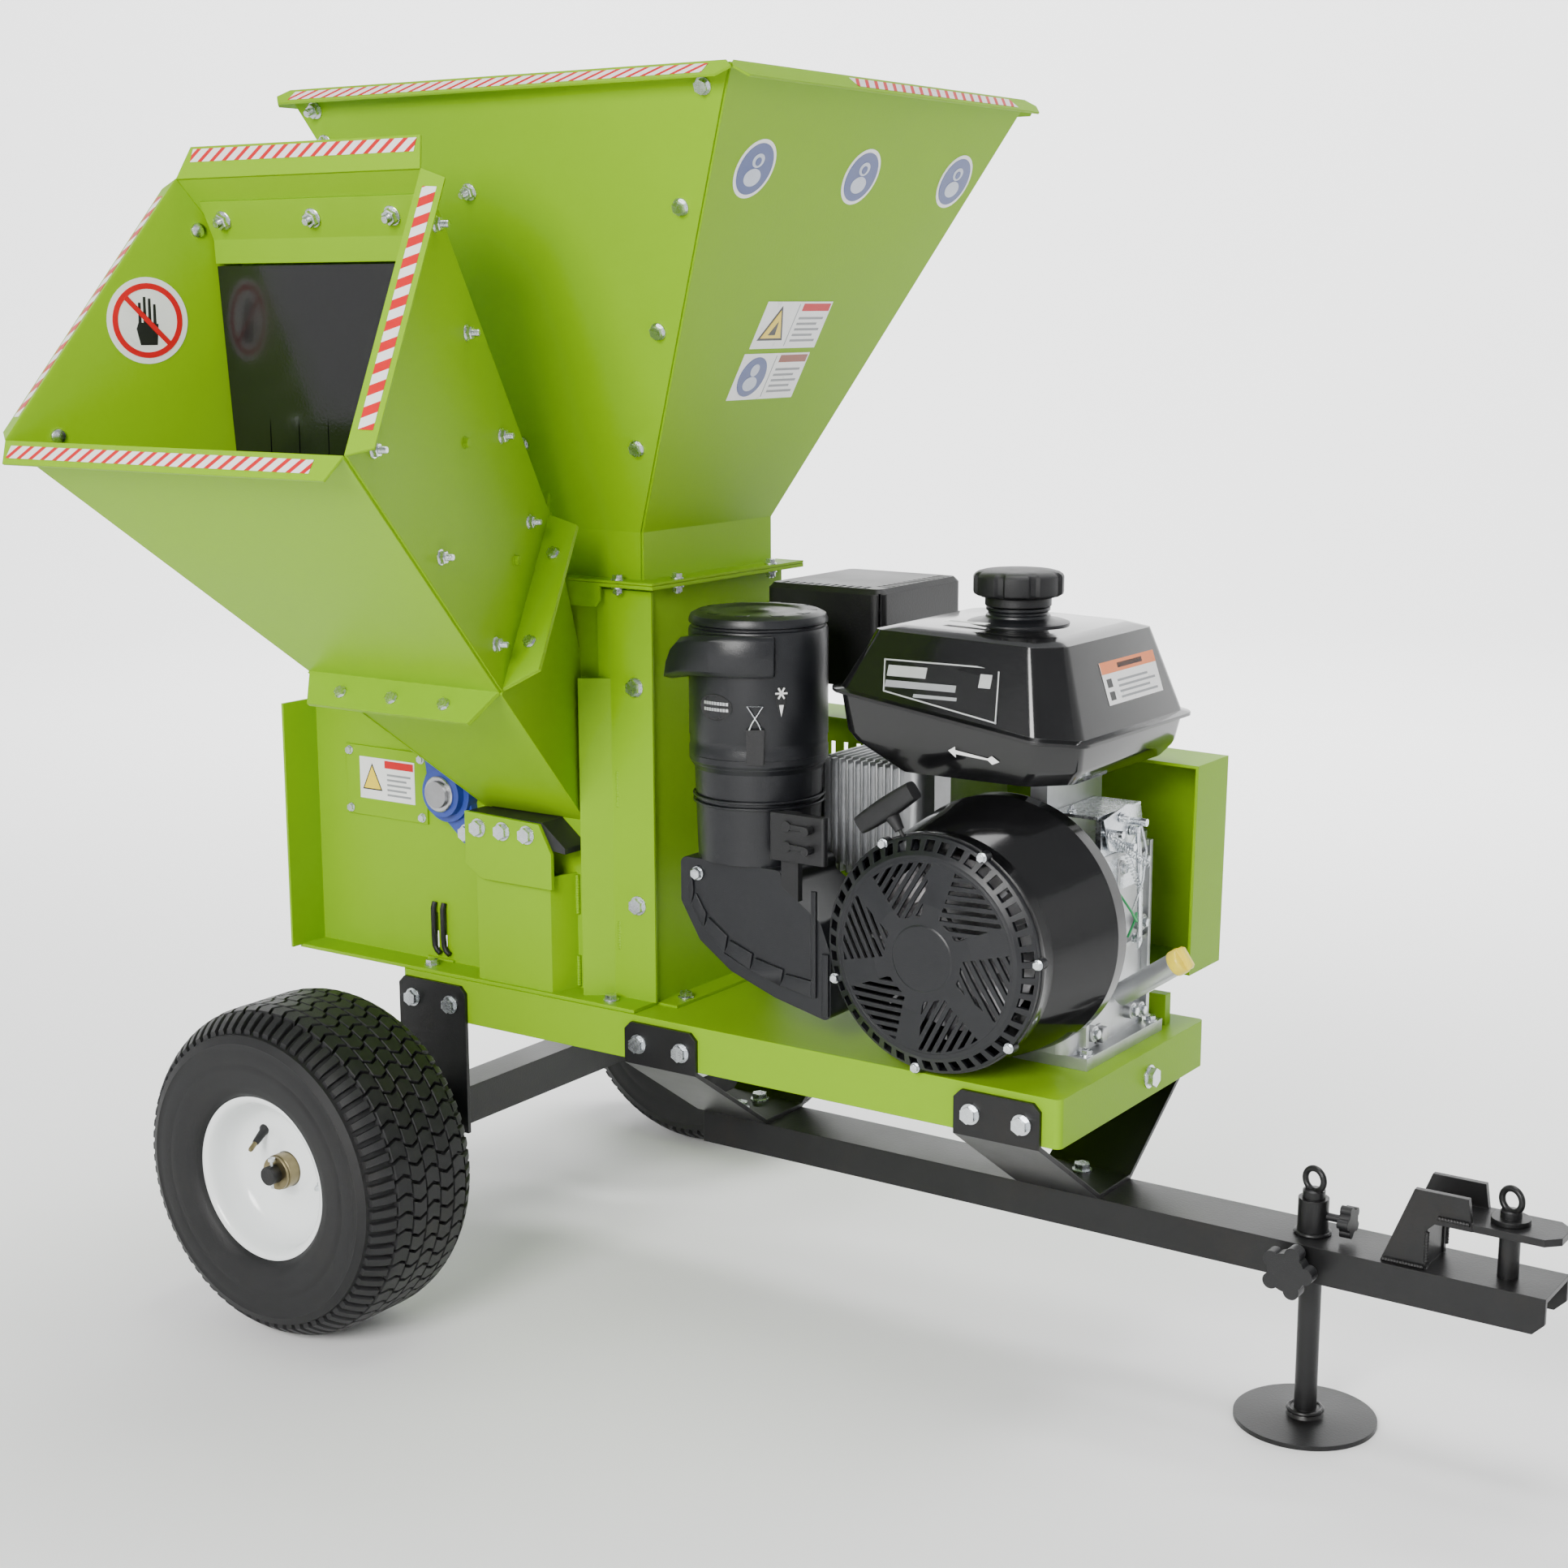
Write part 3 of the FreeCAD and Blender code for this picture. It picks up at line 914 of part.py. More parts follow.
    anvil_places = [((x, -HOUSING_HALF - 51, 655), (0, 1, 0)) for x in (88, 132, 176)]
    drill_nodes(["anvil_bracket", "bed_knife"], anvil_places, 12, 64)
    body += [bolt(at, along, 30, 12, nut=False) for at, along in anvil_places]

    tilt = math.radians(-60)
    dx, dz = 65 * math.cos(tilt), 65 * math.sin(tilt)
    bearing_places = []
    for side in (-1, 1):
        for s in (-1, 1):
            bearing_places.append(((s * dx, side * (HOUSING_HALF + 13), ROTOR_Z + s * dz), (0, -side, 0)))
    drill_nodes(["housing_near_plate", "housing_far_plate"], bearing_places, 12, 50)
    body += [bolt(at, along, 13 + PLATE, 12) for at, along in bearing_places]

    cover_places = [((x, -HOUSING_HALF - 3, z), (0, 1, 0)) for x in (COVER_X[0] + 9, COVER_X[1] - 9)
                    for z in (COVER_Z[0] + 9, COVER_Z[1] - 9)]
    drill_nodes(["access_cover", "housing_near_plate"], cover_places, 6, 20)
    body += [bolt(at, along, 3 + PLATE, 6, nut=False) for at, along in cover_places]
    nodes["body_fasteners"] = group(body)


def build():
    make_wheels()
    make_axle()
    make_tray()
    make_brackets()
    make_drawbar()
    make_hitch_pin()
    make_jack()
    make_housing()
    make_housing_fittings()
    make_rotor()
    make_drive()
    make_hopper()
    make_chute()
    make_engine_block()
    make_blower()
    make_tank()
    make_exhaust_and_air()
    make_controls()
    make_fasteners()


build()
os.makedirs("parts", exist_ok=True)
for name, shape in nodes.items():
    placed = shape.copy()
    placed.translate(ORIGIN * -1)
    placed.exportStep("parts/%s.step" % name)
whole = Part.makeCompound(list(nodes.values())).optimalBoundingBox(False, False)
limits = (whole.XMin, whole.XMax, whole.YMin, whole.YMax, whole.ZMin, whole.ZMax)
print(len(nodes), "nodes; overall box", [round(v, 2) for v in limits])
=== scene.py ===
import json
import random
from math import copysign, cos, pi, radians, sin
import bpy
import bmesh
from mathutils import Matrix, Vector


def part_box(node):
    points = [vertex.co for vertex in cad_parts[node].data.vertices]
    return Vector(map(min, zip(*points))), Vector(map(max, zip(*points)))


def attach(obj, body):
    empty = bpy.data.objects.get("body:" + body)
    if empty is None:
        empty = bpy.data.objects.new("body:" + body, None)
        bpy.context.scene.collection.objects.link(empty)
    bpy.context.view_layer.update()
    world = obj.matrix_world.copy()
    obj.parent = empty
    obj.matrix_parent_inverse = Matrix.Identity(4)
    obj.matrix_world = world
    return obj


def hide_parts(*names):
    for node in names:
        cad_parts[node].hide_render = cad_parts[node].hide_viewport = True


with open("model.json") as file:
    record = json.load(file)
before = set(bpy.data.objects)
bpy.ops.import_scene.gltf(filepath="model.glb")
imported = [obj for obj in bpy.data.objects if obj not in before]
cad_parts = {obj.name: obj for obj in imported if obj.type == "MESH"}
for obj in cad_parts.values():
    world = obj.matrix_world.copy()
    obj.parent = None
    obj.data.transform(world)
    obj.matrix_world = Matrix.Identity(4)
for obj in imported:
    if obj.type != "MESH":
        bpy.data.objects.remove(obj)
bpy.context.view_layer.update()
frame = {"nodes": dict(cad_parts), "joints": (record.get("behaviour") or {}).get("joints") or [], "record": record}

X, Y, Z = Vector((1, 0, 0)), Vector((0, 1, 0)), Vector((0, 0, 1))
JOINTS = {joint["name"]: joint for joint in frame["joints"]}
CHASSIS = "chassis"
MM = 0.001


def joint_place(name):
    return Vector(JOINTS[name]["pos_m"])


# The layout point is on the ground, under the middle of the axle. Places are in millimetres from there.
NEAR_HUB, FAR_HUB = joint_place("near_wheel_spin"), joint_place("far_wheel_spin")
LAYOUT = Vector((NEAR_HUB.x, (NEAR_HUB.y + FAR_HUB.y) / 2, 0))


def at(x, y, z):
    return LAYOUT + Vector((x, y, z)) * MM


def in_metres(profile):
    """Pairs of radius and height, turned from millimetres into metres."""
    return [(r * MM, t * MM) for r, t in profile]


def circle(steps):
    """Cosine and sine at equal steps round a full turn."""
    return [(cos(2 * pi * i / steps), sin(2 * pi * i / steps)) for i in range(steps)]


def facing(vector, direction):
    """The vector, turned round where it points away from the direction."""
    return vector if vector.dot(direction) >= 0 else -vector


# ---------------------------------------------------------------- camera, floor and light
def make_camera():
    data = bpy.data.cameras.new("camera")
    data.sensor_width = 36.0
    data.lens = 55.63
    camera = bpy.data.objects.new("camera", data)
    camera.location = at(2306.1, -2699.8, 1372.8)
    camera.rotation_euler = (radians(90 - 11.22), radians(0.12), radians(34.28))
    bpy.context.scene.collection.objects.link(camera)
    bpy.context.scene.camera = camera


def make_light(name, place, target, size, power, colour):
    data = bpy.data.lights.new(name, "AREA")
    data.shape = "DISK"
    data.size = size
    data.energy = power
    data.color = colour
    light = bpy.data.objects.new(name, data)
    light.location = place
    light.rotation_euler = (Vector(target) - Vector(place)).to_track_quat("-Z", "Y").to_euler()
    bpy.context.scene.collection.objects.link(light)


def make_world():
    world = bpy.data.worlds.new("studio")
    world.use_nodes = True
    nodes = world.node_tree.nodes
    background = nodes["Background"]
    background.inputs["Color"].default_value = (0.95, 0.975, 1.0, 1)
    background.inputs["Strength"].default_value = 0.42
    bpy.context.scene.world = world


def make_stage():
    """Flat floor that sweeps up into a round backdrop."""
    profile = [(radius, 0.0) for radius in (0.01, 2.0, 4.0, 6.0, 7.5)]
    profile += [(7.5 + 3.0 * sin(radians(a)), 3.0 - 3.0 * cos(radians(a)))
                for a in range(9, 91, 9)]
    profile += [(10.5, 4.5), (10.5, 6.5)]
    steps = 96
    bm = bmesh.new()
    rings = [[bm.verts.new((r * a, r * b, z)) for a, b in circle(steps)] for r, z in profile]
    for lower, upper in zip(rings, rings[1:]):
        for i in range(steps):
            k = (i + 1) % steps
            bm.faces.new((lower[i], upper[i], upper[k], lower[k])).normal_flip()
    bm.faces.new(rings[0])
    bmesh.ops.recalc_face_normals(bm, faces=bm.faces)
    data = bpy.data.meshes.new("floor")
    bm.to_mesh(data)
    bm.free()
    data.shade_smooth()
    floor = bpy.data.objects.new("floor", data)
    bpy.context.scene.collection.objects.link(floor)
    data.materials.append(surface("pale_floor", (0.93, 0.93, 0.93), 0.8, tone=0.01, tone_size=0.6,
                                  bump=0.03,
                                  bump_size=0.01))
    make_light("key", (0.9, -5.4, 3.1), (0, -0.2, 0.8), 2.6, 430, (1.0, 0.99, 0.97))
    make_light("backdrop_left", (-3.6, 3.2, 5.2), (-5.0, 7.0, 1.2), 3.4, 640, (1.0, 1.0, 1.0))
    make_light("backdrop_right", (0.6, 3.6, 5.4), (-1.6, 8.5, 1.0), 3.4, 640, (1.0, 1.0, 1.0))
    make_light("top", (0.2, 0.6, 6.0), (0.2, 0.2, 0), 3.2, 200, (1.0, 1.0, 1.0))


# ---------------------------------------------------------------- materials
def surface(name, colour, roughness, metallic=0.0, tone=0.08, tone_size=0.05, bump=0.1, bump_size=0.002,
            coat=0.0, rough_spread=0.08, edge=0.0, dirt=None, specular=0.5):
    """Procedural finish: slow colour change, fine relief, uneven roughness, rounded edges and dust."""
    material = bpy.data.materials.new(name)
    material.use_nodes = True
    tree = material.node_tree
    nodes, links = tree.nodes, tree.links
    shader = nodes["Principled BSDF"]
    shader.inputs["Metallic"].default_value = metallic
    shader.inputs["Coat Weight"].default_value = coat
    shader.inputs["Coat Roughness"].default_value = 0.06
    shader.inputs["Specular IOR Level"].default_value = specular
    place = nodes.new("ShaderNodeTexCoord")

    slow = nodes.new("ShaderNodeTexNoise")
    slow.inputs["Scale"].default_value = 1 / tone_size
    slow.inputs["Detail"].default_value = 4
    links.new(place.outputs["Object"], slow.inputs["Vector"])
    mix = nodes.new("ShaderNodeMix")
    mix.data_type = "RGBA"
    dark = [c * (1 - tone) for c in colour]
    light = [min(1.0, c * (1 + tone) + tone * 0.02) for c in colour]
    mix.inputs[6].default_value = (*dark, 1)
    mix.inputs[7].default_value = (*light, 1)
    links.new(slow.outputs["Fac"], mix.inputs[0])
    tint = mix.outputs[2]

    fine = nodes.new("ShaderNodeTexNoise")
    fine.inputs["Scale"].default_value = 1 / bump_size
    fine.inputs["Detail"].default_value = 2
    links.new(place.outputs["Object"], fine.inputs["Vector"])

    if dirt:
        ramp = nodes.new("ShaderNodeMapRange")
        ramp.inputs["From Min"].default_value = 0.52
        ramp.inputs["From Max"].default_value = 0.78
        ramp.inputs["To Max"].default_value = dirt[1]
        broad = nodes.new("ShaderNodeTexNoise")
        broad.inputs["Scale"].default_value = 9
        broad.inputs["Detail"].default_value = 8
        broad.inputs["Roughness"].default_value = 0.7
        links.new(place.outputs["Object"], broad.inputs["Vector"])
        links.new(broad.outputs["Fac"], ramp.inputs["Value"])
        dusty = nodes.new("ShaderNodeMix")
        dusty.data_type = "RGBA"
        dusty.inputs[7].default_value = (*dirt[0], 1)
        links.new(ramp.outputs["Result"], dusty.inputs[0])
        links.new(tint, dusty.inputs[6])
        tint = dusty.outputs[2]
    links.new(tint, shader.inputs["Base Color"])

    rough = nodes.new("ShaderNodeMapRange")
    rough.inputs["To Min"].default_value = max(0.02, roughness - rough_spread)
    rough.inputs["To Max"].default_value = min(1.0, roughness + rough_spread)
    links.new(slow.outputs["Fac"], rough.inputs["Value"])
    links.new(rough.outputs["Result"], shader.inputs["Roughness"])

    relief = nodes.new("ShaderNodeBump")
    relief.inputs["Strength"].default_value = bump
    relief.inputs["Distance"].default_value = 0.0006
    links.new(fine.outputs["Fac"], relief.inputs["Height"])
    if edge:
        rounded = nodes.new("ShaderNodeBevel")
        rounded.samples = 4
        rounded.inputs["Radius"].default_value = edge
        links.new(rounded.outputs["Normal"], relief.inputs["Normal"])
    links.new(relief.outputs["Normal"], shader.inputs["Normal"])
    return material


LIME = surface("lime_powder_coat", (0.205, 0.400, 0.0006), 0.46, tone=0.05, tone_size=0.22, bump=0.22,
               bump_size=0.0035, edge=0.0016, rough_spread=0.06, specular=0.13)
BLACK = surface("black_powder_coat", (0.0055, 0.0055, 0.006), 0.38, tone=0.25, tone_size=0.09, bump=0.3,
                bump_size=0.003, edge=0.0015, dirt=((0.022, 0.015, 0.010), 0.35), specular=0.35)
WHITE = surface("white_rim_paint", (0.83, 0.86, 0.86), 0.22, tone=0.03, tone_size=0.08, bump=0.08,
                bump_size=0.006, coat=0.35)
RUBBER = surface("tyre_rubber", (0.0065, 0.0065, 0.0072), 0.55, tone=0.3, tone_size=0.03, bump=0.45,
                 bump_size=0.0012, dirt=((0.018, 0.016, 0.014), 0.45), specular=0.32)
TREAD_EDGE = surface("tread_rubber", (0.0075, 0.0075, 0.0085), 0.5, tone=0.35, tone_size=0.02, bump=0.5,
                     bump_size=0.001, dirt=((0.026, 0.022, 0.018), 0.5), specular=0.35)
ZINC = surface("zinc_plate", (0.66, 0.69, 0.72), 0.27, metallic=1.0, tone=0.16, tone_size=0.006, bump=0.15,
               bump_size=0.0012, rough_spread=0.1, edge=0.0006)
STEEL = surface("turned_steel", (0.40, 0.40, 0.41), 0.33, metallic=1.0, tone=0.15, tone_size=0.02,
                bump=0.15,
                bump_size=0.001, edge=0.0005, dirt=((0.16, 0.09, 0.05), 0.4))
KNIFE = surface("ground_tool_steel", (0.52, 0.52, 0.54), 0.24, metallic=1.0, tone=0.1, tone_size=0.01,
                bump=0.12, bump_size=0.0008, edge=0.0004)
DARK_STEEL = surface("dark_bar_steel", (0.035, 0.035, 0.038), 0.42, metallic=0.6, tone=0.3, tone_size=0.03,
                     bump=0.35, bump_size=0.0015, edge=0.0008)
CAST = surface("cast_steel", (0.13, 0.13, 0.135), 0.5, metallic=0.8, tone=0.2, tone_size=0.02, bump=0.5,
               bump_size=0.0016, edge=0.0008)
BLUE = surface("blue_casting_paint", (0.022, 0.052, 0.30), 0.4, tone=0.2, tone_size=0.02, bump=0.5,
               bump_size=0.0022, edge=0.0012)
CURTAIN = surface("curtain_rubber", (0.0045, 0.0045, 0.005), 0.16, tone=0.2, tone_size=0.05, bump=0.2,
                  bump_size=0.004, coat=0.2)
BELT = surface("belt_rubber", (0.008, 0.008, 0.008), 0.6, tone=0.2, tone_size=0.01, bump=0.5,
               bump_size=0.001)
ALLOY = surface("die_cast_alloy", (0.56, 0.57, 0.58), 0.38, metallic=1.0, tone=0.12, tone_size=0.02,
                bump=0.35,
                bump_size=0.0012, edge=0.0010, dirt=((0.25, 0.22, 0.18), 0.3))
GLOSS = surface("gloss_black_enamel", (0.0035, 0.0035, 0.004), 0.14, tone=0.2, tone_size=0.1, bump=0.06,
                bump_size=0.008, coat=0.35, rough_spread=0.03, edge=0.0014, specular=0.4)
PLASTIC = surface("moulded_black_plastic", (0.0065, 0.007, 0.009), 0.33, tone=0.15, tone_size=0.04,
                  bump=0.35,
                  bump_size=0.0012, edge=0.0014, specular=0.4)
MATT = surface("matt_black_plastic", (0.0075, 0.0075, 0.0085), 0.46, tone=0.15, tone_size=0.03, bump=0.5,
               bump_size=0.0012, edge=0.0010, specular=0.4)
YELLOW = surface("yellow_plastic", (0.80, 0.62, 0.03), 0.3, tone=0.06, tone_size=0.01, bump=0.1,
                 bump_size=0.001, edge=0.001)
BRONZE = surface("sintered_bronze", (0.23, 0.19, 0.10), 0.35, metallic=1.0, tone=0.25, tone_size=0.01,
                 bump=0.3,
                 bump_size=0.0008, edge=0.0005)
TAPE_RED = surface("red_reflective_tape", (0.56, 0.006, 0.010), 0.42, tone=0.08, tone_size=0.02, bump=0.1,
                   bump_size=0.002, specular=0.3)
TAPE_WHITE = surface("white_reflective_tape", (0.80, 0.80, 0.79), 0.3, tone=0.05, tone_size=0.02, bump=0.1,
                     bump_size=0.002, coat=0.3)
SIGN_BLUE = surface("blue_sign_film", (0.006, 0.035, 0.20), 0.35, tone=0.06, tone_size=0.02, bump=0.05,
                    bump_size=0.002, coat=0.3)


def ink(name, colour, roughness, tone, metallic=0.0):
    return surface(name, colour, roughness, metallic, tone, 0.01, 0.05, 0.002)


LABEL_GREY = ink("grey_label_ink", (0.25, 0.26, 0.27), 0.4, 0.1)
LABEL_YELLOW = ink("yellow_label_ink", (0.85, 0.62, 0.02), 0.35, 0.05)
LABEL_BLACK = ink("black_label_ink", (0.01, 0.01, 0.01), 0.4, 0.1)
LABEL_ORANGE = ink("orange_label_ink", (0.80, 0.18, 0.02), 0.35, 0.05)
LABEL_BROWN = ink("brown_label_ink", (0.26, 0.05, 0.015), 0.4, 0.08)
LABEL_PALE = ink("pale_sign_ink", (0.52, 0.56, 0.66), 0.4, 0.08)
LABEL_SILVER = ink("silver_label_ink", (0.55, 0.56, 0.57), 0.35, 0.08, metallic=0.7)
GREEN_LEAD = surface("green_lead", (0.01, 0.38, 0.10), 0.35, tone=0.1, tone_size=0.01, bump=0.1,
                     bump_size=0.001)

NODE_FINISH = {"lime_paint": LIME, "black_paint": BLACK, "white_paint": WHITE, "tyre_rubber": RUBBER,
               "zinc": ZINC, "tool_steel": KNIFE, "plain_steel": STEEL, "cast_steel": CAST,
               "blue_casting": BLUE, "curtain_rubber": CURTAIN, "belt_rubber": BELT, "engine_alloy": ALLOY,
               "tank_black": GLOSS, "engine_black": GLOSS, "black_plastic": MATT, "gloss_plastic": PLASTIC,
               "yellow_plastic": YELLOW}


def dress_cad_nodes():
    for part in frame["record"]["subparts"]:
        node = frame["nodes"][part["node"]]
        finish = NODE_FINISH[part["material_slot"]]
        if part["node"] == "bed_knife":
            finish = DARK_STEEL
        if part["node"] == "recoil_cover":
            finish = PLASTIC
        node.data.materials.clear()
        node.data.materials.append(finish)


# ---------------------------------------------------------------- mesh building
def frame_of(axis):
    """Two directions square to an axis and to each other."""
    axis = axis.normalized()
    side = axis.cross(X if abs(axis.x) < 0.8 else Z).normalized()
    return side, axis.cross(side)


NEAR_AXIS = 0.00005     # radius of the small hole that stands for a point on the axis


class Piece:
    """One visible piece, put together from prisms, turned shapes, lofts and tubes. Lengths are in metres."""

    def __init__(self, name):
        self.name = name
        self.bm = bmesh.new()
        self.materials = []

    def index(self, material):
        if material not in self.materials:
            self.materials.append(material)
        return self.materials.index(material)

    def faces(self, points, quads, material):
        verts = [self.bm.verts.new(p) for p in points]
        index = self.index(material)
        for quad in quads:
            made = self.bm.faces.new([verts[i] for i in quad])
            made.material_index = index

    def loft(self, loops, material, close=True, ends=True):
        """Skin over loops of equal length; close joins the last point of a loop to its first."""
        n = len(loops[0])
        points = [p for loop in loops for p in loop]
        quads = []
        for k in range(len(loops) - 1):
            for i in range(n if close else n - 1):
                j = (i + 1) % n
                quads.append((k * n + i, k * n + j, (k + 1) * n + j, (k + 1) * n + i))
        if ends:
            quads.append(tuple(reversed(range(n))))
            quads.append(tuple(range((len(loops) - 1) * n, len(loops) * n)))
        self.faces(points, quads, material)

    def prism(self, outline, along, material):
        self.loft([outline, [p + along for p in outline]], material)

    def box(self, low, high, material):
        outline = [Vector((low.x, low.y, low.z)), Vector((high.x, low.y, low.z)),
                   Vector((high.x, high.y, low.z)), Vector((low.x, high.y, low.z))]
        self.prism(outline, Z * (high.z - low.z), material)

    def lathe(self, profile, centre, axis, material, steps=72, ring=True):
        """Turned shape: profile holds (radius, height) pairs; ring joins the profile's ends into a hoop."""
        u, w = frame_of(axis)
        axis = axis.normalized()
        n = len(profile)
        points = [centre + (u * a + w * b) * r + axis * t for a, b in circle(steps) for r, t in profile]
        quads = []
        for k in range(steps):
            following = (k + 1) % steps
            for i in range(n if ring else n - 1):
                j = (i + 1) % n
                quads.append((k * n + i, k * n + j, following * n + j, following * n + i))
        self.faces(points, quads, material)

    def turned(self, profile, centre, axis, material, steps=48):
        """Turned solid whose profile starts and ends near the axis."""
        u, w = frame_of(axis)
        axis = axis.normalized()
        self.loft([[centre + (u * a + w * b) * max(r, NEAR_AXIS) + axis * t for a, b in circle(steps)]
                   for r, t in profile], material)

    def tube(self, path, radius, material, sides=10, swell=None):
        loops = []
        previous = None
        for k, p in enumerate(path):
            ahead = path[min(k + 1, len(path) - 1)] - path[max(k - 1, 0)]
            ahead.normalize()
            if previous is None:
                previous = frame_of(ahead)[0]
            side = (previous - ahead * previous.dot(ahead)).normalized()
            previous = side
            other = ahead.cross(side)
            r = radius * (swell(k) if swell else 1)
            loops.append([p + (side * a + other * b) * r for a, b in circle(sides)])
        self.loft(loops, material)

    def hexagon(self, centre, axis, across, height, material):
        """Bolt head or nut with a rounded-off top."""
        u, w = frame_of(axis)
        axis = axis.normalized()
        reach = across / 2 / cos(radians(30))
        rings = [(1.0, 0), (1.0, height * 0.84), (0.88, height)]
        self.loft([[centre + (u * a + w * b) * (reach * s) + axis * t for a, b in circle(6)]
                   for s, t in rings], material)

    def bolt(self, centre, axis, size, material, washer=True, stud=0.0):
        axis = axis.normalized()
        rise = 0.0
        if washer:
            rise = size * 0.2
            r = size * 1.12
            self.turned([(0, 0), (r, 0), (r, rise * 0.7), (r * 0.95, rise), (0, rise)], centre, axis,
                        material, 24)
        self.hexagon(centre + axis * rise, axis, size * 1.65, size * 0.7, material)
        if stud:
            top = rise + size * 0.7
            profile = [(0, top - 0.0005)]
            turns = max(2, int(stud / (size * 0.16)))
            for i in range(turns):
                t = top + stud * i / turns
                profile += [(size * 0.5, t), (size * 0.43, t + stud / turns / 2)]
            profile += [(size * 0.40, top + stud), (0, top + stud)]
            self.turned(profile, centre, axis, material, 18)

    def done(self, body, slot, replaces=(), bevel=0.0, smooth=32):
        bmesh.ops.remove_doubles(self.bm, verts=self.bm.verts, dist=1e-7)
        bmesh.ops.recalc_face_normals(self.bm, faces=self.bm.faces)
        if bevel:
            sharp = [e for e in self.bm.edges if len(e.link_faces) == 2
                     and e.calc_face_angle(0) > radians(smooth)]
            bmesh.ops.bevel(self.bm, geom=sharp, offset=bevel, segments=2, profile=0.6, affect="EDGES",
                            clamp_overlap=True)
        data = bpy.data.meshes.new(self.name)
        self.bm.to_mesh(data)
        self.bm.free()
        for material in self.materials:
            data.materials.append(material)
        data.shade_smooth()
        data.set_sharp_from_angle(angle=radians(smooth))
        piece = bpy.data.objects.new(self.name, data)
        bpy.context.scene.collection.objects.link(piece)
        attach(piece, body)
        if replaces:
            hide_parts(*replaces)
        return piece


def weld(piece, start, end, radius, material, pitch=0.0035):
    """Rippled weld bead between two points."""
    run = end - start
    count = max(3, int(run.length / pitch * 2))
    path = [start + run * (i / count) for i in range(count + 1)]
    piece.tube(path, radius, material, 8, swell=lambda k: 0.82 + 0.2 * (k % 2))


# ---------------------------------------------------------------- wheels
TYRE_R, TREAD_TOP, SPINDLE_CLEAR = 228.0, 8.0, 12.9
TREAD_ROWS, BLOCKS_PER_ROW, SHOULDER_BARS = (-52, -26, 0, 26, 52), 58, 76


def tread_radius(w):
    """Outer radius of the tread at distance w from the wheel's middle, both in millimetres."""
    over = max(0.0, abs(w) - 46)
    return TYRE_R - over * over * 0.0095


def carcass_profile():
    outer = [(104.6, 84), (112, 86.5), (116, 93), (121, 98.5), (133, 101.4), (150, 103.2), (158, 104.0),
             (160, 103.2), (163, 104.0), (178, 103.6), (186, 102.4), (188.5, 103.4), (191, 102.2),
             (199, 98)]
    tread = [(tread_radius(w) - TREAD_TOP, w) for w in (92, 84, 74, 62, 46, 28, 10)]
    half = outer + tread
    inner = [(180, 40), (176, 82), (118, 80), (104.6, 74)]
    return half + [(r, -t) for r, t in half[::-1]] + [(r, -t) for r, t in inner[::-1]] + inner


def chevron(flip):
    """Outline of a tread block: along the tread and across it, in millimetres."""
    return [(-13.0 * flip, -12.0), (7.6 * flip, -12.0), (13.0 * flip, 0), (7.6 * flip, 12.0),
            (-13.0 * flip, 12.0), (-7.6 * flip, 0)]


def make_tyre(name, hub, side):
    piece = Piece(name + "_tyre_treaded")
    piece.lathe(in_metres(carcass_profile()), hub, Y * side, RUBBER, 120)

    def on_tread(angle, along, across, drop):
        r = tread_radius(across) - drop
        turn = angle + along / TYRE_R
        return hub + Vector((cos(turn) * r, across, sin(turn) * r)) * MM

    for k, row in enumerate(TREAD_ROWS):
        flip, shift = (-1, 0.5) if k % 2 else (1, 0.0)
        for i in range(BLOCKS_PER_ROW):
            angle = 2 * pi * (i + shift) / BLOCKS_PER_ROW
            loops = []
            for grow, drop in ((1.06, TREAD_TOP + 1.5), (1.0, 1.4), (0.93, 0.2)):
                loops.append([on_tread(angle, s * grow, row + w * grow, drop) for s, w in chevron(flip)])
            piece.loft(loops, TREAD_EDGE)
    for edge in (-1, 1):
        for i in range(SHOULDER_BARS):
            angle = 2 * pi * (i + 0.25 * edge) / SHOULDER_BARS
            loops = []
            for k in range(4):
                across = edge * (67 + 8.8 * k)
                half = 5.9 - 0.15 * k
                lean = edge * k * 0.9
                loops.append([on_tread(angle, -half * 1.1 + lean, across, TREAD_TOP + 1.5),
                              on_tread(angle, -half + lean, across, 1.2),
                              on_tread(angle, -half * 0.86 + lean, across, 0.2),
                              on_tread(angle, half * 0.86 + lean, across, 0.2),
                              on_tread(angle, half + lean, across, 1.2),
                              on_tread(angle, half * 1.1 + lean, across, TREAD_TOP + 1.5)])
            piece.loft(loops, TREAD_EDGE)
    piece.done(name + "_wheel", "tyre_rubber", [name + "_tyre"], smooth=38)


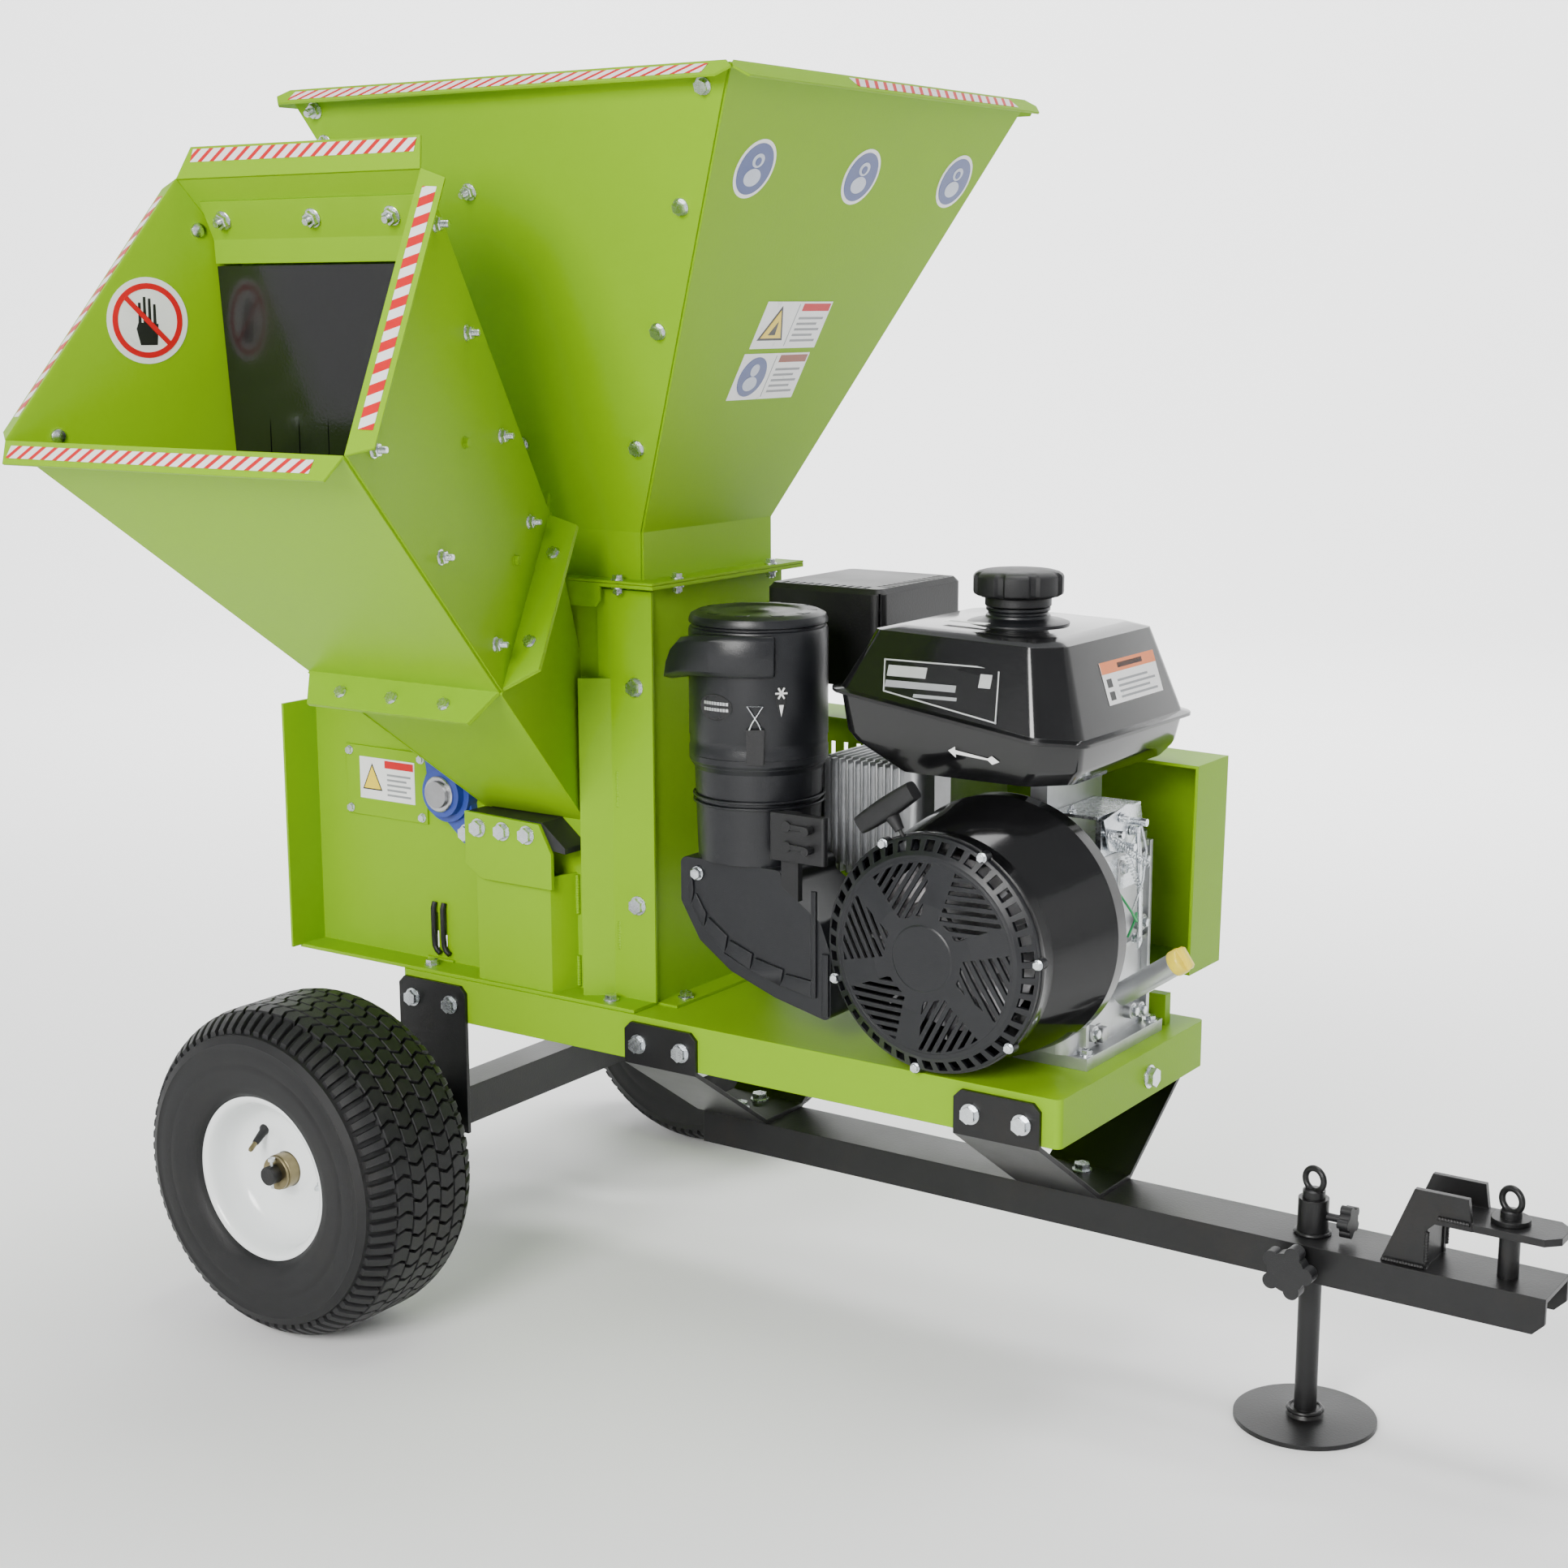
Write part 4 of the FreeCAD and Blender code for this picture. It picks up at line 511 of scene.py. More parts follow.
def make_rim(name, hub, side):
    out = Y * side
    piece = Piece(name + "_rim_dished")
    face = [(112.6, 88.0), (113, 89.6), (110, 90), (106, 88.6), (102.5, 84), (101, 76), (99.5, 62),
            (97, 50),
            (90, 41.5), (78, 36.5), (60, 34), (42, 34), (33, 36), (27, 41), (24.5, 42), (24.5, -60),
            (SPINDLE_CLEAR, -60), (SPINDLE_CLEAR, 40), (22, 40), (22, 32), (60, 30), (78, 32.5), (92, 38),
            (97, 44), (98, 30), (98, -78), (102.5, -84), (106, -88.6), (110, -90), (113, -89.6),
            (112.6, -88), (108, -86),
            (103.8, -80), (103.6, 80), (108, 86)]
    piece.lathe(in_metres(face), hub, out, WHITE, 96)
    bush = [(SPINDLE_CLEAR, 38), (23.5, 38), (24.0, 50), (24.0, 58.6), (22.8, 60), (SPINDLE_CLEAR, 60)]
    piece.lathe(in_metres(bush), hub, out, BRONZE, 48)
    piece.done(name + "_wheel", "white_paint", [name + "_rim"], smooth=35)

    fittings = Piece(name + "_valve_and_nipple")
    foot = hub + Vector((-49, side * 33, 44)) * MM
    lean = (out + Vector((0.22, 0, -0.5))).normalized()
    fittings.turned([(0, -0.004), (0.008, -0.004), (0.008, 0.002), (0.0058, 0.006), (0.0048, 0.026),
                     (0.004, 0.028), (0, 0.028)], foot, lean, MATT, 20)
    fittings.turned([(0, 0.028), (0.0034, 0.028), (0.0034, 0.040), (0.0026, 0.042), (0, 0.042)], foot, lean,
                    BRONZE, 16)
    grease = hub + Vector((56, side * 33, -14)) * MM
    fittings.hexagon(grease, out, 0.011, 0.006, ZINC)
    fittings.turned([(0, 0.006), (0.0036, 0.006), (0.0032, 0.010), (0.0046, 0.013), (0.0030, 0.018),
                     (0, 0.018)],
                    grease, (out + X * 0.3).normalized(), ZINC, 16)
    fittings.done(name + "_wheel", "zinc")


def make_wheels():
    for name, hub, side in (("near", NEAR_HUB, -1), ("far", FAR_HUB, 1)):
        make_tyre(name, hub, side)
        make_rim(name, hub, side)
        washer = Piece(name + "_hub_washer")
        profile = [(12.8, 64.6), (22.3, 64.6), (22.9, 64.0), (22.9, 61.2), (22.3, 60.9), (22.3, 64.4),
                   (12.8, 64.52)]
        washer.lathe(in_metres(profile), hub, Y * side, BRONZE, 48)
        washer.done(CHASSIS, "plain_steel")


# ---------------------------------------------------------------- tape, signs and labels
def stripe_tape(name, start, end, across, lift, pitch=0.0215, slant=1.0, red=0.38):
    """Slanted stripes on a strip from start to end; across is its width, lift its thickness."""
    run = end - start
    length = run.length
    along = run / length
    width = across.length
    piece = Piece(name)
    shift = slant * width
    count = int((length + abs(shift)) / pitch) + 3

    def clip(u):
        return min(max(u, 0.0), length)

    for k in range(-4, 2 * count):
        low = (k // 2) * pitch + (pitch * (1 - red) if k % 2 else 0.0)
        high = low + pitch * (red if k % 2 else 1 - red)
        outline = []
        corners = [(low, 0.0), (high, 0.0), (high + shift, 1.0), (low + shift, 1.0)]
        for (ua, va), (ub, vb) in zip(corners, corners[1:] + corners[:1]):
            outline.append((clip(ua), va))
            for bound in (0.0, length):
                if (ua - bound) * (ub - bound) < 0:
                    share = (bound - ua) / (ub - ua)
                    outline.append((bound, va + (vb - va) * share))
        area = 0.0
        for (ua, va), (ub, vb) in zip(outline, outline[1:] + outline[:1]):
            area += ua * vb - ub * va
        if abs(area) < 1e-4:
            continue
        kept = []
        for u, v in outline:
            if not kept or abs(u - kept[-1][0]) + abs(v - kept[-1][1]) > 1e-6:
                kept.append((u, v))
        points = [start + along * u + across * v for u, v in kept]
        piece.prism(points, lift, TAPE_RED if k % 2 else TAPE_WHITE)
    return piece


def label(piece, corner, right, up, base, marks):
    """Thin plate with raised patches. marks holds (x0, y0, x1, y1, material) as shares of the plate."""
    out = right.cross(up).normalized()
    thick = out * 0.0005
    piece.prism([corner, corner + right, corner + right + up, corner + up], thick, base)
    for x0, y0, x1, y1, material in marks:
        outline = [corner + right * x + up * y + thick for x, y in ((x0, y0), (x1, y0), (x1, y1), (x0, y1))]
        piece.prism(outline, out * 0.0002, material)


def text_lines(x0, x1, y0, y1, count, material):
    """Plain bars that stand for lines of print."""
    marks = []
    for i in range(count):
        low = y0 + (y1 - y0) * i / count
        marks.append((x0, low, x1 - (x1 - x0) * 0.18 * (i % 2), low + (y1 - y0) / count * 0.42, material))
    return marks


SHEET_FACE = 0.0031     # just above the outer face of a 3 mm sheet
BOLT_FACE = 0.0028      # just inside it, where a bolt head sits
TAPE_THICK = 0.0004


def disc(piece, centre, out, radius, material, lift=0.0, thick=0.0005, squeeze=1.0, inner=0.0):
    u, w = frame_of(out)
    loop = circle(48)
    low = centre + out * lift
    if inner:
        loops = []
        for r, t in ((inner, 0), (radius, 0), (radius, thick), (inner, thick)):
            loops.append([low + u * (a * r) + w * (b * r * squeeze) + out * t for a, b in loop])
        loops.append(loops[0])
        piece.loft(loops, material, ends=False)
    else:
        outline = [low + u * (a * radius) + w * (b * radius * squeeze) for a, b in loop]
        piece.prism(outline, out * thick, material)


# ---------------------------------------------------------------- hopper
HOPPER_X, HOPPER_Y, HOPPER_TOP, NECK_TOP = (-78.0, 630.0), 350.0, 1645.0, 1076.0
NECK_X, NECK_Y = (197.0, 338.0), 149.0


def hopper_face(z):
    """Where the front hopper panel is at height z: x in layout millimetres."""
    share = (z - NECK_TOP) / (HOPPER_TOP - NECK_TOP)
    return NECK_X[1] + (HOPPER_X[1] - NECK_X[1]) * share


def make_hopper_marks():
    lean = Vector((HOPPER_X[1] - NECK_X[1], 0, HOPPER_TOP - NECK_TOP)).normalized()
    out = Vector((lean.z, 0, -lean.x))
    signs = Piece("hopper_signs")

    def on_front(y, z):
        return at(hopper_face(z), y, z) + out * SHEET_FACE

    for y, height in ((-224, 1534), (15, 1534), (250, 1537)):
        centre = on_front(y, height)
        disc(signs, centre, out, 0.0385, TAPE_WHITE)
        disc(signs, centre, out, 0.0335, SIGN_BLUE, 0.0005)
        disc(signs, centre + lean * 0.011, out, 0.0115, LABEL_PALE, 0.001, squeeze=0.8)
        disc(signs, centre - lean * 0.011, out, 0.0165, LABEL_PALE, 0.001, squeeze=0.7)
        disc(signs, centre + lean * 0.010, out, 0.0055, SIGN_BLUE, 0.0015)
    header = (0.56, 0.80, 0.98, 0.96)
    for y, low_edge, colour in ((-78, 1316, TAPE_RED), (-83, 1249, LABEL_BROWN)):
        corner = on_front(y, low_edge)
        marks = [(*header, colour), (0.495, 0.05, 0.505, 0.95, LABEL_GREY)]
        marks += text_lines(0.56, 0.94, 0.14, 0.74, 5, LABEL_GREY)
        label(signs, corner, Y * 0.152, lean * 0.068, TAPE_WHITE, marks)
        middle = corner + Y * 0.037 + lean * 0.034
        if colour is TAPE_RED:
            for grow, lift, ink in ((1.0, 0.0005, LABEL_BLACK), (0.80, 0.0008, LABEL_YELLOW)):
                triangle = [(-0.029, -0.022), (0.029, -0.022), (0.0, 0.028)]
                signs.prism([middle + Y * (a * grow) + lean * ((b + 0.005) * grow - 0.005) + out * lift
                             for a, b in triangle], out * 0.0003, ink)
            signs.prism([middle + Y * a + lean * b + out * 0.0011
                         for a, b in ((-0.009, -0.014), (0.007, -0.014), (0.004, 0.006))], out * 0.0002,
                        LABEL_BLACK)
        else:
            disc(signs, middle, out, 0.029, SIGN_BLUE, 0.0005)
            disc(signs, middle + lean * 0.010, out, 0.009, LABEL_PALE, 0.001)
            disc(signs, middle - lean * 0.010, out, 0.015, LABEL_PALE, 0.001, squeeze=0.7)
    signs.done(CHASSIS, "white_paint")

    for name, fold, start, end in (
            ("near", (0, -24, -18), (HOPPER_X[0] + 18, -HOPPER_Y), (HOPPER_X[1] - 26, -HOPPER_Y)),
            ("front", (24, 0, -18), (HOPPER_X[1], -108), (HOPPER_X[1], 294))):
        drop = Vector(fold) * MM
        start, end = at(*start, HOPPER_TOP), at(*end, HOPPER_TOP)
        up = facing(drop.cross(end - start).normalized(), Z)
        lift = drop * 0.2 + up * SHEET_FACE
        tape = stripe_tape("hopper_tape_" + name, start + lift, end + lift, drop * 0.6, up * TAPE_THICK,
                           slant=-1.0)
        tape.done(CHASSIS, "white_paint")

    bolts = Piece("hopper_panel_bolts")
    face_out = Vector((0, -(HOPPER_TOP - NECK_TOP), -(HOPPER_Y - NECK_Y))).normalized()
    for x, z in ((191, 1514), (-35, 1581), (-38, 1622)):
        share = (z - NECK_TOP) / (HOPPER_TOP - NECK_TOP)
        y = -(NECK_Y + (HOPPER_Y - NECK_Y) * share)
        bolts.bolt(at(x, y, z) + face_out * BOLT_FACE, face_out, 0.010, ZINC, stud=0.009)
    bolts.done(CHASSIS, "zinc")


# ---------------------------------------------------------------- chute
TILT = radians(40.0)
CHUTE_AXIS = Vector((0, cos(TILT), -sin(TILT)))
CHUTE_UP = Vector((0, sin(TILT), cos(TILT)))
MOUTH_HALF, MOUTH_H, MOUTH_LEAN = 281.0, 381.0, -33.0
NARROWING_ALONG, NARROWING_UP = 0.2337, 0.225
LIP_LEAN = 0.12
CLAMP_LOW, CLAMP_HIGH = (-531.0, 1452.0), (-550.7, 1498.9)     # y and z of the clamp strip's sloping face
CLAMP_BOLT_Z = 1476


def chute_point(across, along, up):
    return at(149, -790, 1211) + (X * across + CHUTE_AXIS * along + CHUTE_UP * up) * MM


def wall_point(side, along, up):
    return chute_point(side * (MOUTH_HALF - NARROWING_ALONG * along - NARROWING_UP * up), along, up)


def lip_tape(name, a, b, lean, offset, insets, slant, pitch=0.0215, red=0.38):
    """Tape on a chute lip between two mouth corners; lean is the lip's own direction."""
    edge = (b - a).normalized()
    across = (lean - edge * lean.dot(edge)).normalized()
    face = facing(edge.cross(across).normalized(), -CHUTE_AXIS)
    lift = across * offset + face * SHEET_FACE
    tape = stripe_tape(name, a + edge * insets[0] + lift, b - edge * insets[1] + lift, across * 0.017,
                       face * TAPE_THICK, pitch, slant, red)
    tape.done(CHASSIS, "white_paint")


def folded(edge, outward):
    """Direction of a lip that leans back a little from the mouth."""
    across = outward - edge * outward.dot(edge)
    return across.normalized() + CHUTE_AXIS * LIP_LEAN


def make_chute_marks():
    low = {side: wall_point(side, 0, 0) for side in (-1, 1)}
    high = {side: wall_point(side, MOUTH_LEAN, MOUTH_H) for side in (-1, 1)}
    outward = {side: (X * side + CHUTE_AXIS * NARROWING_ALONG + CHUTE_UP * NARROWING_UP).normalized()
               for side in (-1, 1)}
    for side, name in ((-1, "left"), (1, "right")):
        edge = (high[side] - low[side]).normalized()
        lip_tape("chute_tape_" + name, low[side], high[side], folded(edge, outward[side]), 0.008,
                 (0.034, 0.026), 0.55 * side, 0.0285, 0.5)
    lip_tape("chute_tape_floor", low[-1], low[1], folded(X, -CHUTE_UP), 0.007, (0.016, 0.040), -0.9)
    lip_tape("chute_tape_top", high[-1], high[1], CHUTE_UP * 0.95 - CHUTE_AXIS * 0.31, 0.0215,
             (0.018, 0.016), 0.9)

    sign = Piece("chute_sign")
    inward = -outward[-1]
    centre = wall_point(-1, 43, 222) + inward * 0.0002
    disc(sign, centre, inward, 0.053, TAPE_WHITE)
    disc(sign, centre, inward, 0.0458, TAPE_RED, 0.0005, inner=0.0387)
    rise = (Z - inward * Z.dot(inward)).normalized()
    side = facing(rise.cross(inward).normalized(), Y)

    def patch(points, lift, material):
        sign.prism([centre + side * a + rise * b + inward * lift for a, b in points], inward * 0.0003,
                   material)

    patch([(-0.010, -0.030), (0.012, -0.030), (0.014, -0.004), (-0.012, -0.002), (-0.015, -0.010)], 0.0005,
          LABEL_BLACK)
    for x, top in ((-0.010, 0.022), (-0.0035, 0.029), (0.003, 0.027), (0.0095, 0.020)):
        patch([(x - 0.0020, -0.004), (x + 0.0020, -0.004), (x + 0.0017, top), (x - 0.0017, top)], 0.0005,
              LABEL_BLACK)
    slope = Vector((0.70, -0.71))
    patch([(slope.x * a - slope.y * b, slope.y * a + slope.x * b)
           for a, b in ((-0.040, -0.0032), (0.040, -0.0032), (0.040, 0.0032), (-0.040, 0.0032))], 0.0010,
           TAPE_RED)
    sign.done(CHASSIS, "white_paint")

    bolts = Piece("chute_seam_bolts")
    for place_side in (-1, 1):
        out = outward[place_side]
        for along, up in ((24, 350), (160, 301), (309, 260), (440, 222), (44, 42), (250, 39), (440, 37)):
            bolts.bolt(wall_point(place_side, along, up) + out * BOLT_FACE, out, 0.009, ZINC, stud=0.009)
        for along, up in ((24, 350), (44, 42)):
            bolts.turned([(0, 0), (0.0095, 0), (0.0088, 0.003), (0.005, 0.0048), (0, 0.005)],
                         wall_point(place_side, along, up), -out, ZINC, 24)
        for along, up in ((229, 190), (431, 157)):
            bolts.bolt(wall_point(place_side, along, up) + out * BOLT_FACE, out, 0.007, LIME)
    strip = Vector((0, -19, 46)).normalized()
    out = facing(X.cross(strip).normalized(), -Y)
    share = (CLAMP_BOLT_Z - CLAMP_LOW[1]) / (CLAMP_HIGH[1] - CLAMP_LOW[1])
    y = CLAMP_LOW[0] + (CLAMP_HIGH[0] - CLAMP_LOW[0]) * share
    for x in (-5, 149, 279):
        bolts.bolt(at(x, y, CLAMP_BOLT_Z) + out * 0.0014, out, 0.011, ZINC, stud=0.006)
    bolts.done(CHASSIS, "zinc")


def make_curtain():
    """One hanging rubber sheet, slit into six strips towards its foot."""
    low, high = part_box("curtain")
    middle = Vector(((low.x + high.x) / 2, (low.y + high.y) / 2, 0))
    top_half, foot_half = (high.x - low.x) / 2, (high.x - low.x) / 2 - 0.032
    slit_top = at(0, 0, 1230).z
    rng = random.Random(4)
    lean = [(rng.uniform(-0.0015, 0.0022), rng.uniform(-0.0012, 0.0012)) for _ in range(6)]
    rows, thick = 30, 0.0021

    def place(strip, share, row, side):
        z = high.z - (high.z - low.z) * row / rows
        half = top_half + (foot_half - top_half) * row / rows
        cuts = [-half, -0.1, -0.05, 0.0, 0.05, 0.1, half]
        free = max(0.0, (slit_top - z) / (slit_top - low.z))
        gap = 0.0009 if free > 0 else 0.0
        x0 = cuts[strip] + (gap if strip else 0)
        x1 = cuts[strip + 1] - (gap if strip < 5 else 0)
        bow, twist = lean[strip]
        y = bow * free * free + twist * free * (share - 0.5) * 2
        return Vector((middle.x + x0 + (x1 - x0) * share, middle.y + y + side * thick, z))

    piece = Piece("rubber_curtain")
    for strip in range(6):
        for row in range(rows):
            shares = (0.0, 0.5, 1.0)
            for side in (-1, 1):
                for a, b in zip(shares, shares[1:]):
                    piece.faces([place(strip, a, row, side), place(strip, b, row, side),
                                 place(strip, b, row + 1, side), place(strip, a, row + 1, side)],
                                [(0, 1, 2, 3)], CURTAIN)
            below = place(strip, 0, row + 1, 0).z < slit_top
            for share, outer in ((0.0, strip == 0), (1.0, strip == 5)):
                if outer or below:
                    piece.faces([place(strip, share, row, -1), place(strip, share, row + 1, -1),
                                 place(strip, share, row + 1, 1), place(strip, share, row, 1)],
                                [(0, 1, 2, 3)], CURTAIN)
        for row in (0, rows):
            rim = [(-1, 0), (-1, 0.5), (-1, 1), (1, 1), (1, 0.5), (1, 0)]
            piece.faces([place(strip, t, row, side) for side, t in rim], [tuple(range(6))], CURTAIN)
    piece.done("curtain", "curtain_rubber", ["curtain"])


# ---------------------------------------------------------------- housing
def make_housing_details():
    beads = Piece("housing_welds")
    face = -157
    for x, z0, z1 in ((60, 436, 470), (60, 520, 560), (224, 436, 480), (224, 540, 596), (250, 640, 690),
                      (250, 760, 810), (298, 500, 540), (298, 700, 750)):
        weld(beads, at(x, face, z0), at(x, face, z1), 0.0035, LIME)
    for x0, x1, y, z in ((-60, -10, -157, 434.5), (90, 140, -157, 434.5), (240, 262, -157, 434.5)):
        weld(beads, at(x0, y, z), at(x1, y, z), 0.003, LIME)
    weld(beads, at(196, -200, 586), at(196, -200, 640), 0.003, LIME)
    beads.done(CHASSIS, "lime_paint")

    label_piece = Piece("cover_label")
    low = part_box("access_cover")[0]
    corner = Vector((low.x + 0.028, low.y - 0.0002, low.z + 0.026))
    marks = [(0.46, 0.78, 0.98, 0.96, TAPE_RED)] + text_lines(0.50, 0.93, 0.12, 0.72, 5, LABEL_GREY)
    right, up = X * 0.108, Z * 0.062
    label(label_piece, corner, right, up, TAPE_WHITE, marks)
    out = right.cross(up).normalized()
    triangle = [(0.05, 0.22), (0.41, 0.22), (0.23, 0.86)]
    for grow, lift, material in ((1.0, 0.0005, LABEL_BLACK), (0.84, 0.0007, LABEL_YELLOW)):
        middle = Vector((0.23, 0.43))
        points = []
        for x, y in triangle:
            px, py = middle.x + (x - middle.x) * grow, middle.y + (y - middle.y) * grow
            points.append(corner + right * px + up * py + out * lift)
        label_piece.prism(points, out * 0.0002, material)
    label_piece.done(CHASSIS, "white_paint")

    collar = Piece("bearing_insert")
    bearing = joint_place("rotor_spin")
    bearing.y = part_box("bearings")[0].y
    collar.lathe([(0.0195, 0.0), (0.026, 0.0), (0.026, 0.004), (0.0245, 0.0055), (0.0195, 0.0055)],
                 bearing, -Y, KNIFE, 48)
    collar.done(CHASSIS, "tool_steel")


def make_screen_hooks():
    """Two black hooks of bar that poke out under the bearing."""
    hooks = Piece("screen_hooks")
    for x in (-44, -26):
        path = [at(x, -157, 520)]
        path += [at(x + dx, -160.5, z) for dx, z in ((0, 512), (0, 470), (1, 456), (5, 449), (11, 445))]
        hooks.tube(path, 0.0042, BLACK, 10)
    hooks.done(CHASSIS, "black_paint")


# ---------------------------------------------------------------- drawbar and jack
JACK_X = 1252


def make_hitch_details():
    beads = Piece("hitch_welds")
    for side in (-1, 1):
        y = side * 36
        weld(beads, at(1354, y, 249), at(1406, y, 249), 0.0035, BLACK)
        weld(beads, at(1408, y, 256), at(1408, y, 294), 0.003, BLACK)
        weld(beads, at(1420, y, 314), at(1458, y, 314), 0.003, BLACK)
    foot = Piece("foot_weld")
    for piece, radius, z in ((beads, 20.5, 249), (foot, 21, 15)):
        ring = [at(JACK_X + radius * cos(radians(a)), radius * sin(radians(a)), z) for a in range(0, 361,
                                                                                                  12)]
        piece.tube(ring, 0.003, BLACK, 8, swell=lambda k: 0.8 + 0.25 * (k % 2))
    foot.done("jack_leg", "black_paint")
    beads.done(CHASSIS, "black_paint")


# ---------------------------------------------------------------- engine
TANK_X, TANK_SEAM = (655.0, 985.0), (896.0, 850.0)
TANK_CLIPS = (14.0, 42.0, 12.0, 42.0)


def tank_line(x, rear, front):
    """Height on a line that slopes along the tank from its rear to its front."""
    return rear + (front - rear) * (x - TANK_X[0]) / (TANK_X[1] - TANK_X[0])


def tank_section(x0, x1, y0, y1, rear, front, shrink, steps=3):
    """Level or sloping outline of the tank with clipped, softened corners."""
    near_rear, near_front, far_front, far_rear = (clip * shrink for clip in TANK_CLIPS)
    corners = [(x0 + near_rear, y0), (x1 - near_front, y0), (x1, y0 + near_front), (x1, y1 - far_front),
               (x1 - far_front, y1), (x0 + far_rear, y1), (x0, y1 - far_rear), (x0, y0 + near_rear)]
    loop = []
    for k, (x, y) in enumerate(corners):
        here = Vector((x, y))
        before, after = Vector(corners[k - 1]), Vector(corners[(k + 1) % 8])
        a = here + (before - here) * min(0.4, 9.0 / (before - here).length)
        b = here + (after - here) * min(0.4, 9.0 / (after - here).length)
        for i in range(steps + 1):
            t = i / steps
            p = a * (1 - t) ** 2 + here * (2 * t * (1 - t)) + b * t ** 2
            loop.append(at(p.x, p.y, tank_line(p.x, rear, front)))
    return loop


def make_tank():
    piece = Piece("tank_shell")
    (x0, x1), (rear, front) = TANK_X, TANK_SEAM
    y0, y1 = -168.0, 170.0
    bottom = (x0 + 80, x1 - 20, y0 + 18, y1 - 20, 796.0, 796.0, 1.0)
    belly = (x0 + 7, x1 - 7, y0 + 8, y1 - 8, rear - 58, front - 38, 1.0)
    under = (x0 + 1, x1 - 1, y0 + 1, y1 - 1, rear - 4, front - 4, 1.0)
    over = (x0 + 1, x1 - 1, y0 + 1, y1 - 1, rear + 4, front + 4, 1.0)
    edge = (x0 + 35, x1 - 37, y0 + 34, y1 - 30, 972.0, 962.0, 0.75)
    crown = (x0 + 57, x1 - 60, y0 + 56, y1 - 52, 977.5, 969.5, 0.75)

    def between(a, b, share):
        return tuple(p + (q - p) * share for p, q in zip(a, b))

    lip = (x0 - 8.5, x1 + 8.5, y0 - 8.5, y1 + 8.5)
    sections = [between(bottom, belly, 0.0), between(bottom, belly, 0.06), between(bottom, belly, 0.86),
                between(belly, under, 0.10), under, (*lip, rear - 2, front - 2, 1.1),
                (*lip, rear + 2, front + 2, 1.1), over, between(over, edge, 0.88),
                between(edge, crown, 0.0),
                between(edge, crown, 0.35), crown]
    piece.loft([tank_section(*values) for values in sections], GLOSS)
    low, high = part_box("fuel_cap")
    neck = Vector(((low.x + high.x) / 2, (low.y + high.y) / 2, 0))
    profile = [(0, 968), (66, 968), (66, 974.5), (58, 977), (47, 978), (42, 981), (41, 984), (38.5, 985.5),
               (38.5, 988), (41, 990), (41, 993.4), (34.2, 993.4), (34.2, 980), (0, 980)]
    piece.turned(in_metres(profile), neck, Z, PLASTIC, 64)
    piece.done(CHASSIS, "tank_black", ["fuel_tank"], smooth=34)

    cap = Piece("ribbed_fuel_cap")
    steps = 96
    loops = []
    for r, z, depth in ((33, 986.5, 0), (33.4, 994.5, 0), (41, 994.8, 0), (42.5, 996, 0), (42.5, 1006, 0),
                        (52, 1008, 0.5), (57, 1011, 1.0), (57.8, 1014, 1.0), (57.8, 1033, 1.0),
                        (56, 1036, 1.0), (52, 1038.5, 0.6), (46, 1040, 0), (30, 1041, 0), (10, 1041.2, 0),
                        (1, 1041.2, 0)):
        loop = []
        for i in range(steps):
            flute = 1 - 0.07 * depth if i % 12 < 3 else 1
            a = 2 * pi * i / steps
            loop.append(neck + Vector((r * flute * cos(a), r * flute * sin(a), z)) * MM)
        loops.append(loop)
    cap.loft(loops, MATT)
    cap.done("fuel_cap", "black_plastic", ["fuel_cap"], smooth=30)

    marks = Piece("tank_labels")
    seam = [at(x, y0 - 1, tank_line(x, rear, front)) for x in (x0, x1)]
    face = facing((seam[1] - seam[0]).cross(at(819, y0 + 34, 967) - seam[0]).normalized(), -Y)

    def on_face(x, z):
        """Point of the sloping near face above the seam at this x and z."""
        place = at(x, 0, z)
        return place + Y * ((seam[0] - place).dot(face) / face.y) + face * 0.0012

    plate = [on_face(720, 937), on_face(880, 937), on_face(889, 872), on_face(727, 898)]
    marks.prism(plate, face * 0.0005, GLOSS)
    for a, b in zip(plate, plate[1:] + plate[:1]):
        run = (b - a).normalized()
        inner = facing(face.cross(run) * 0.0018, sum(plate, Vector()) / 4 - a)
        marks.prism([a, b, b + inner, a + inner], face * 0.0009, LABEL_SILVER)
    for xa, xb, za, zb, ink in ((728, 782, 917, 930, LABEL_SILVER), (728, 826, 904, 912, LABEL_GREY),
                                (856, 872, 912, 928, LABEL_SILVER), (770, 830, 894, 898, LABEL_GREY)):
        marks.prism([on_face(x, z) for x, z in ((xa, za), (xb, za), (xb, zb), (xa, zb))], face * 0.0008,
                    ink)

    lean_x = Vector((-37, 0, 112)).normalized()
    side_base = at(973.3, -34, 884) + Vector((lean_x.z, 0, -lean_x.x)) * 0.0014
    label(marks, side_base, Y * 0.150, lean_x * 0.054, TAPE_WHITE,
          [(0.0, 0.72, 1.0, 1.0, LABEL_ORANGE), (0.30, 0.80, 0.76, 0.92, LABEL_BLACK)]
          + text_lines(0.24, 0.92, 0.1, 0.62, 4, LABEL_GREY)
          + [(0.05, 0.1, 0.14, 0.30, LABEL_BLACK), (0.05, 0.40, 0.14, 0.60, LABEL_BLACK)])
    label(marks, at(756, -72, 978.2), X * 0.062, Y * 0.014, TAPE_WHITE,
          [(0.1, 0.25, 0.7, 0.75, LABEL_GREY)])

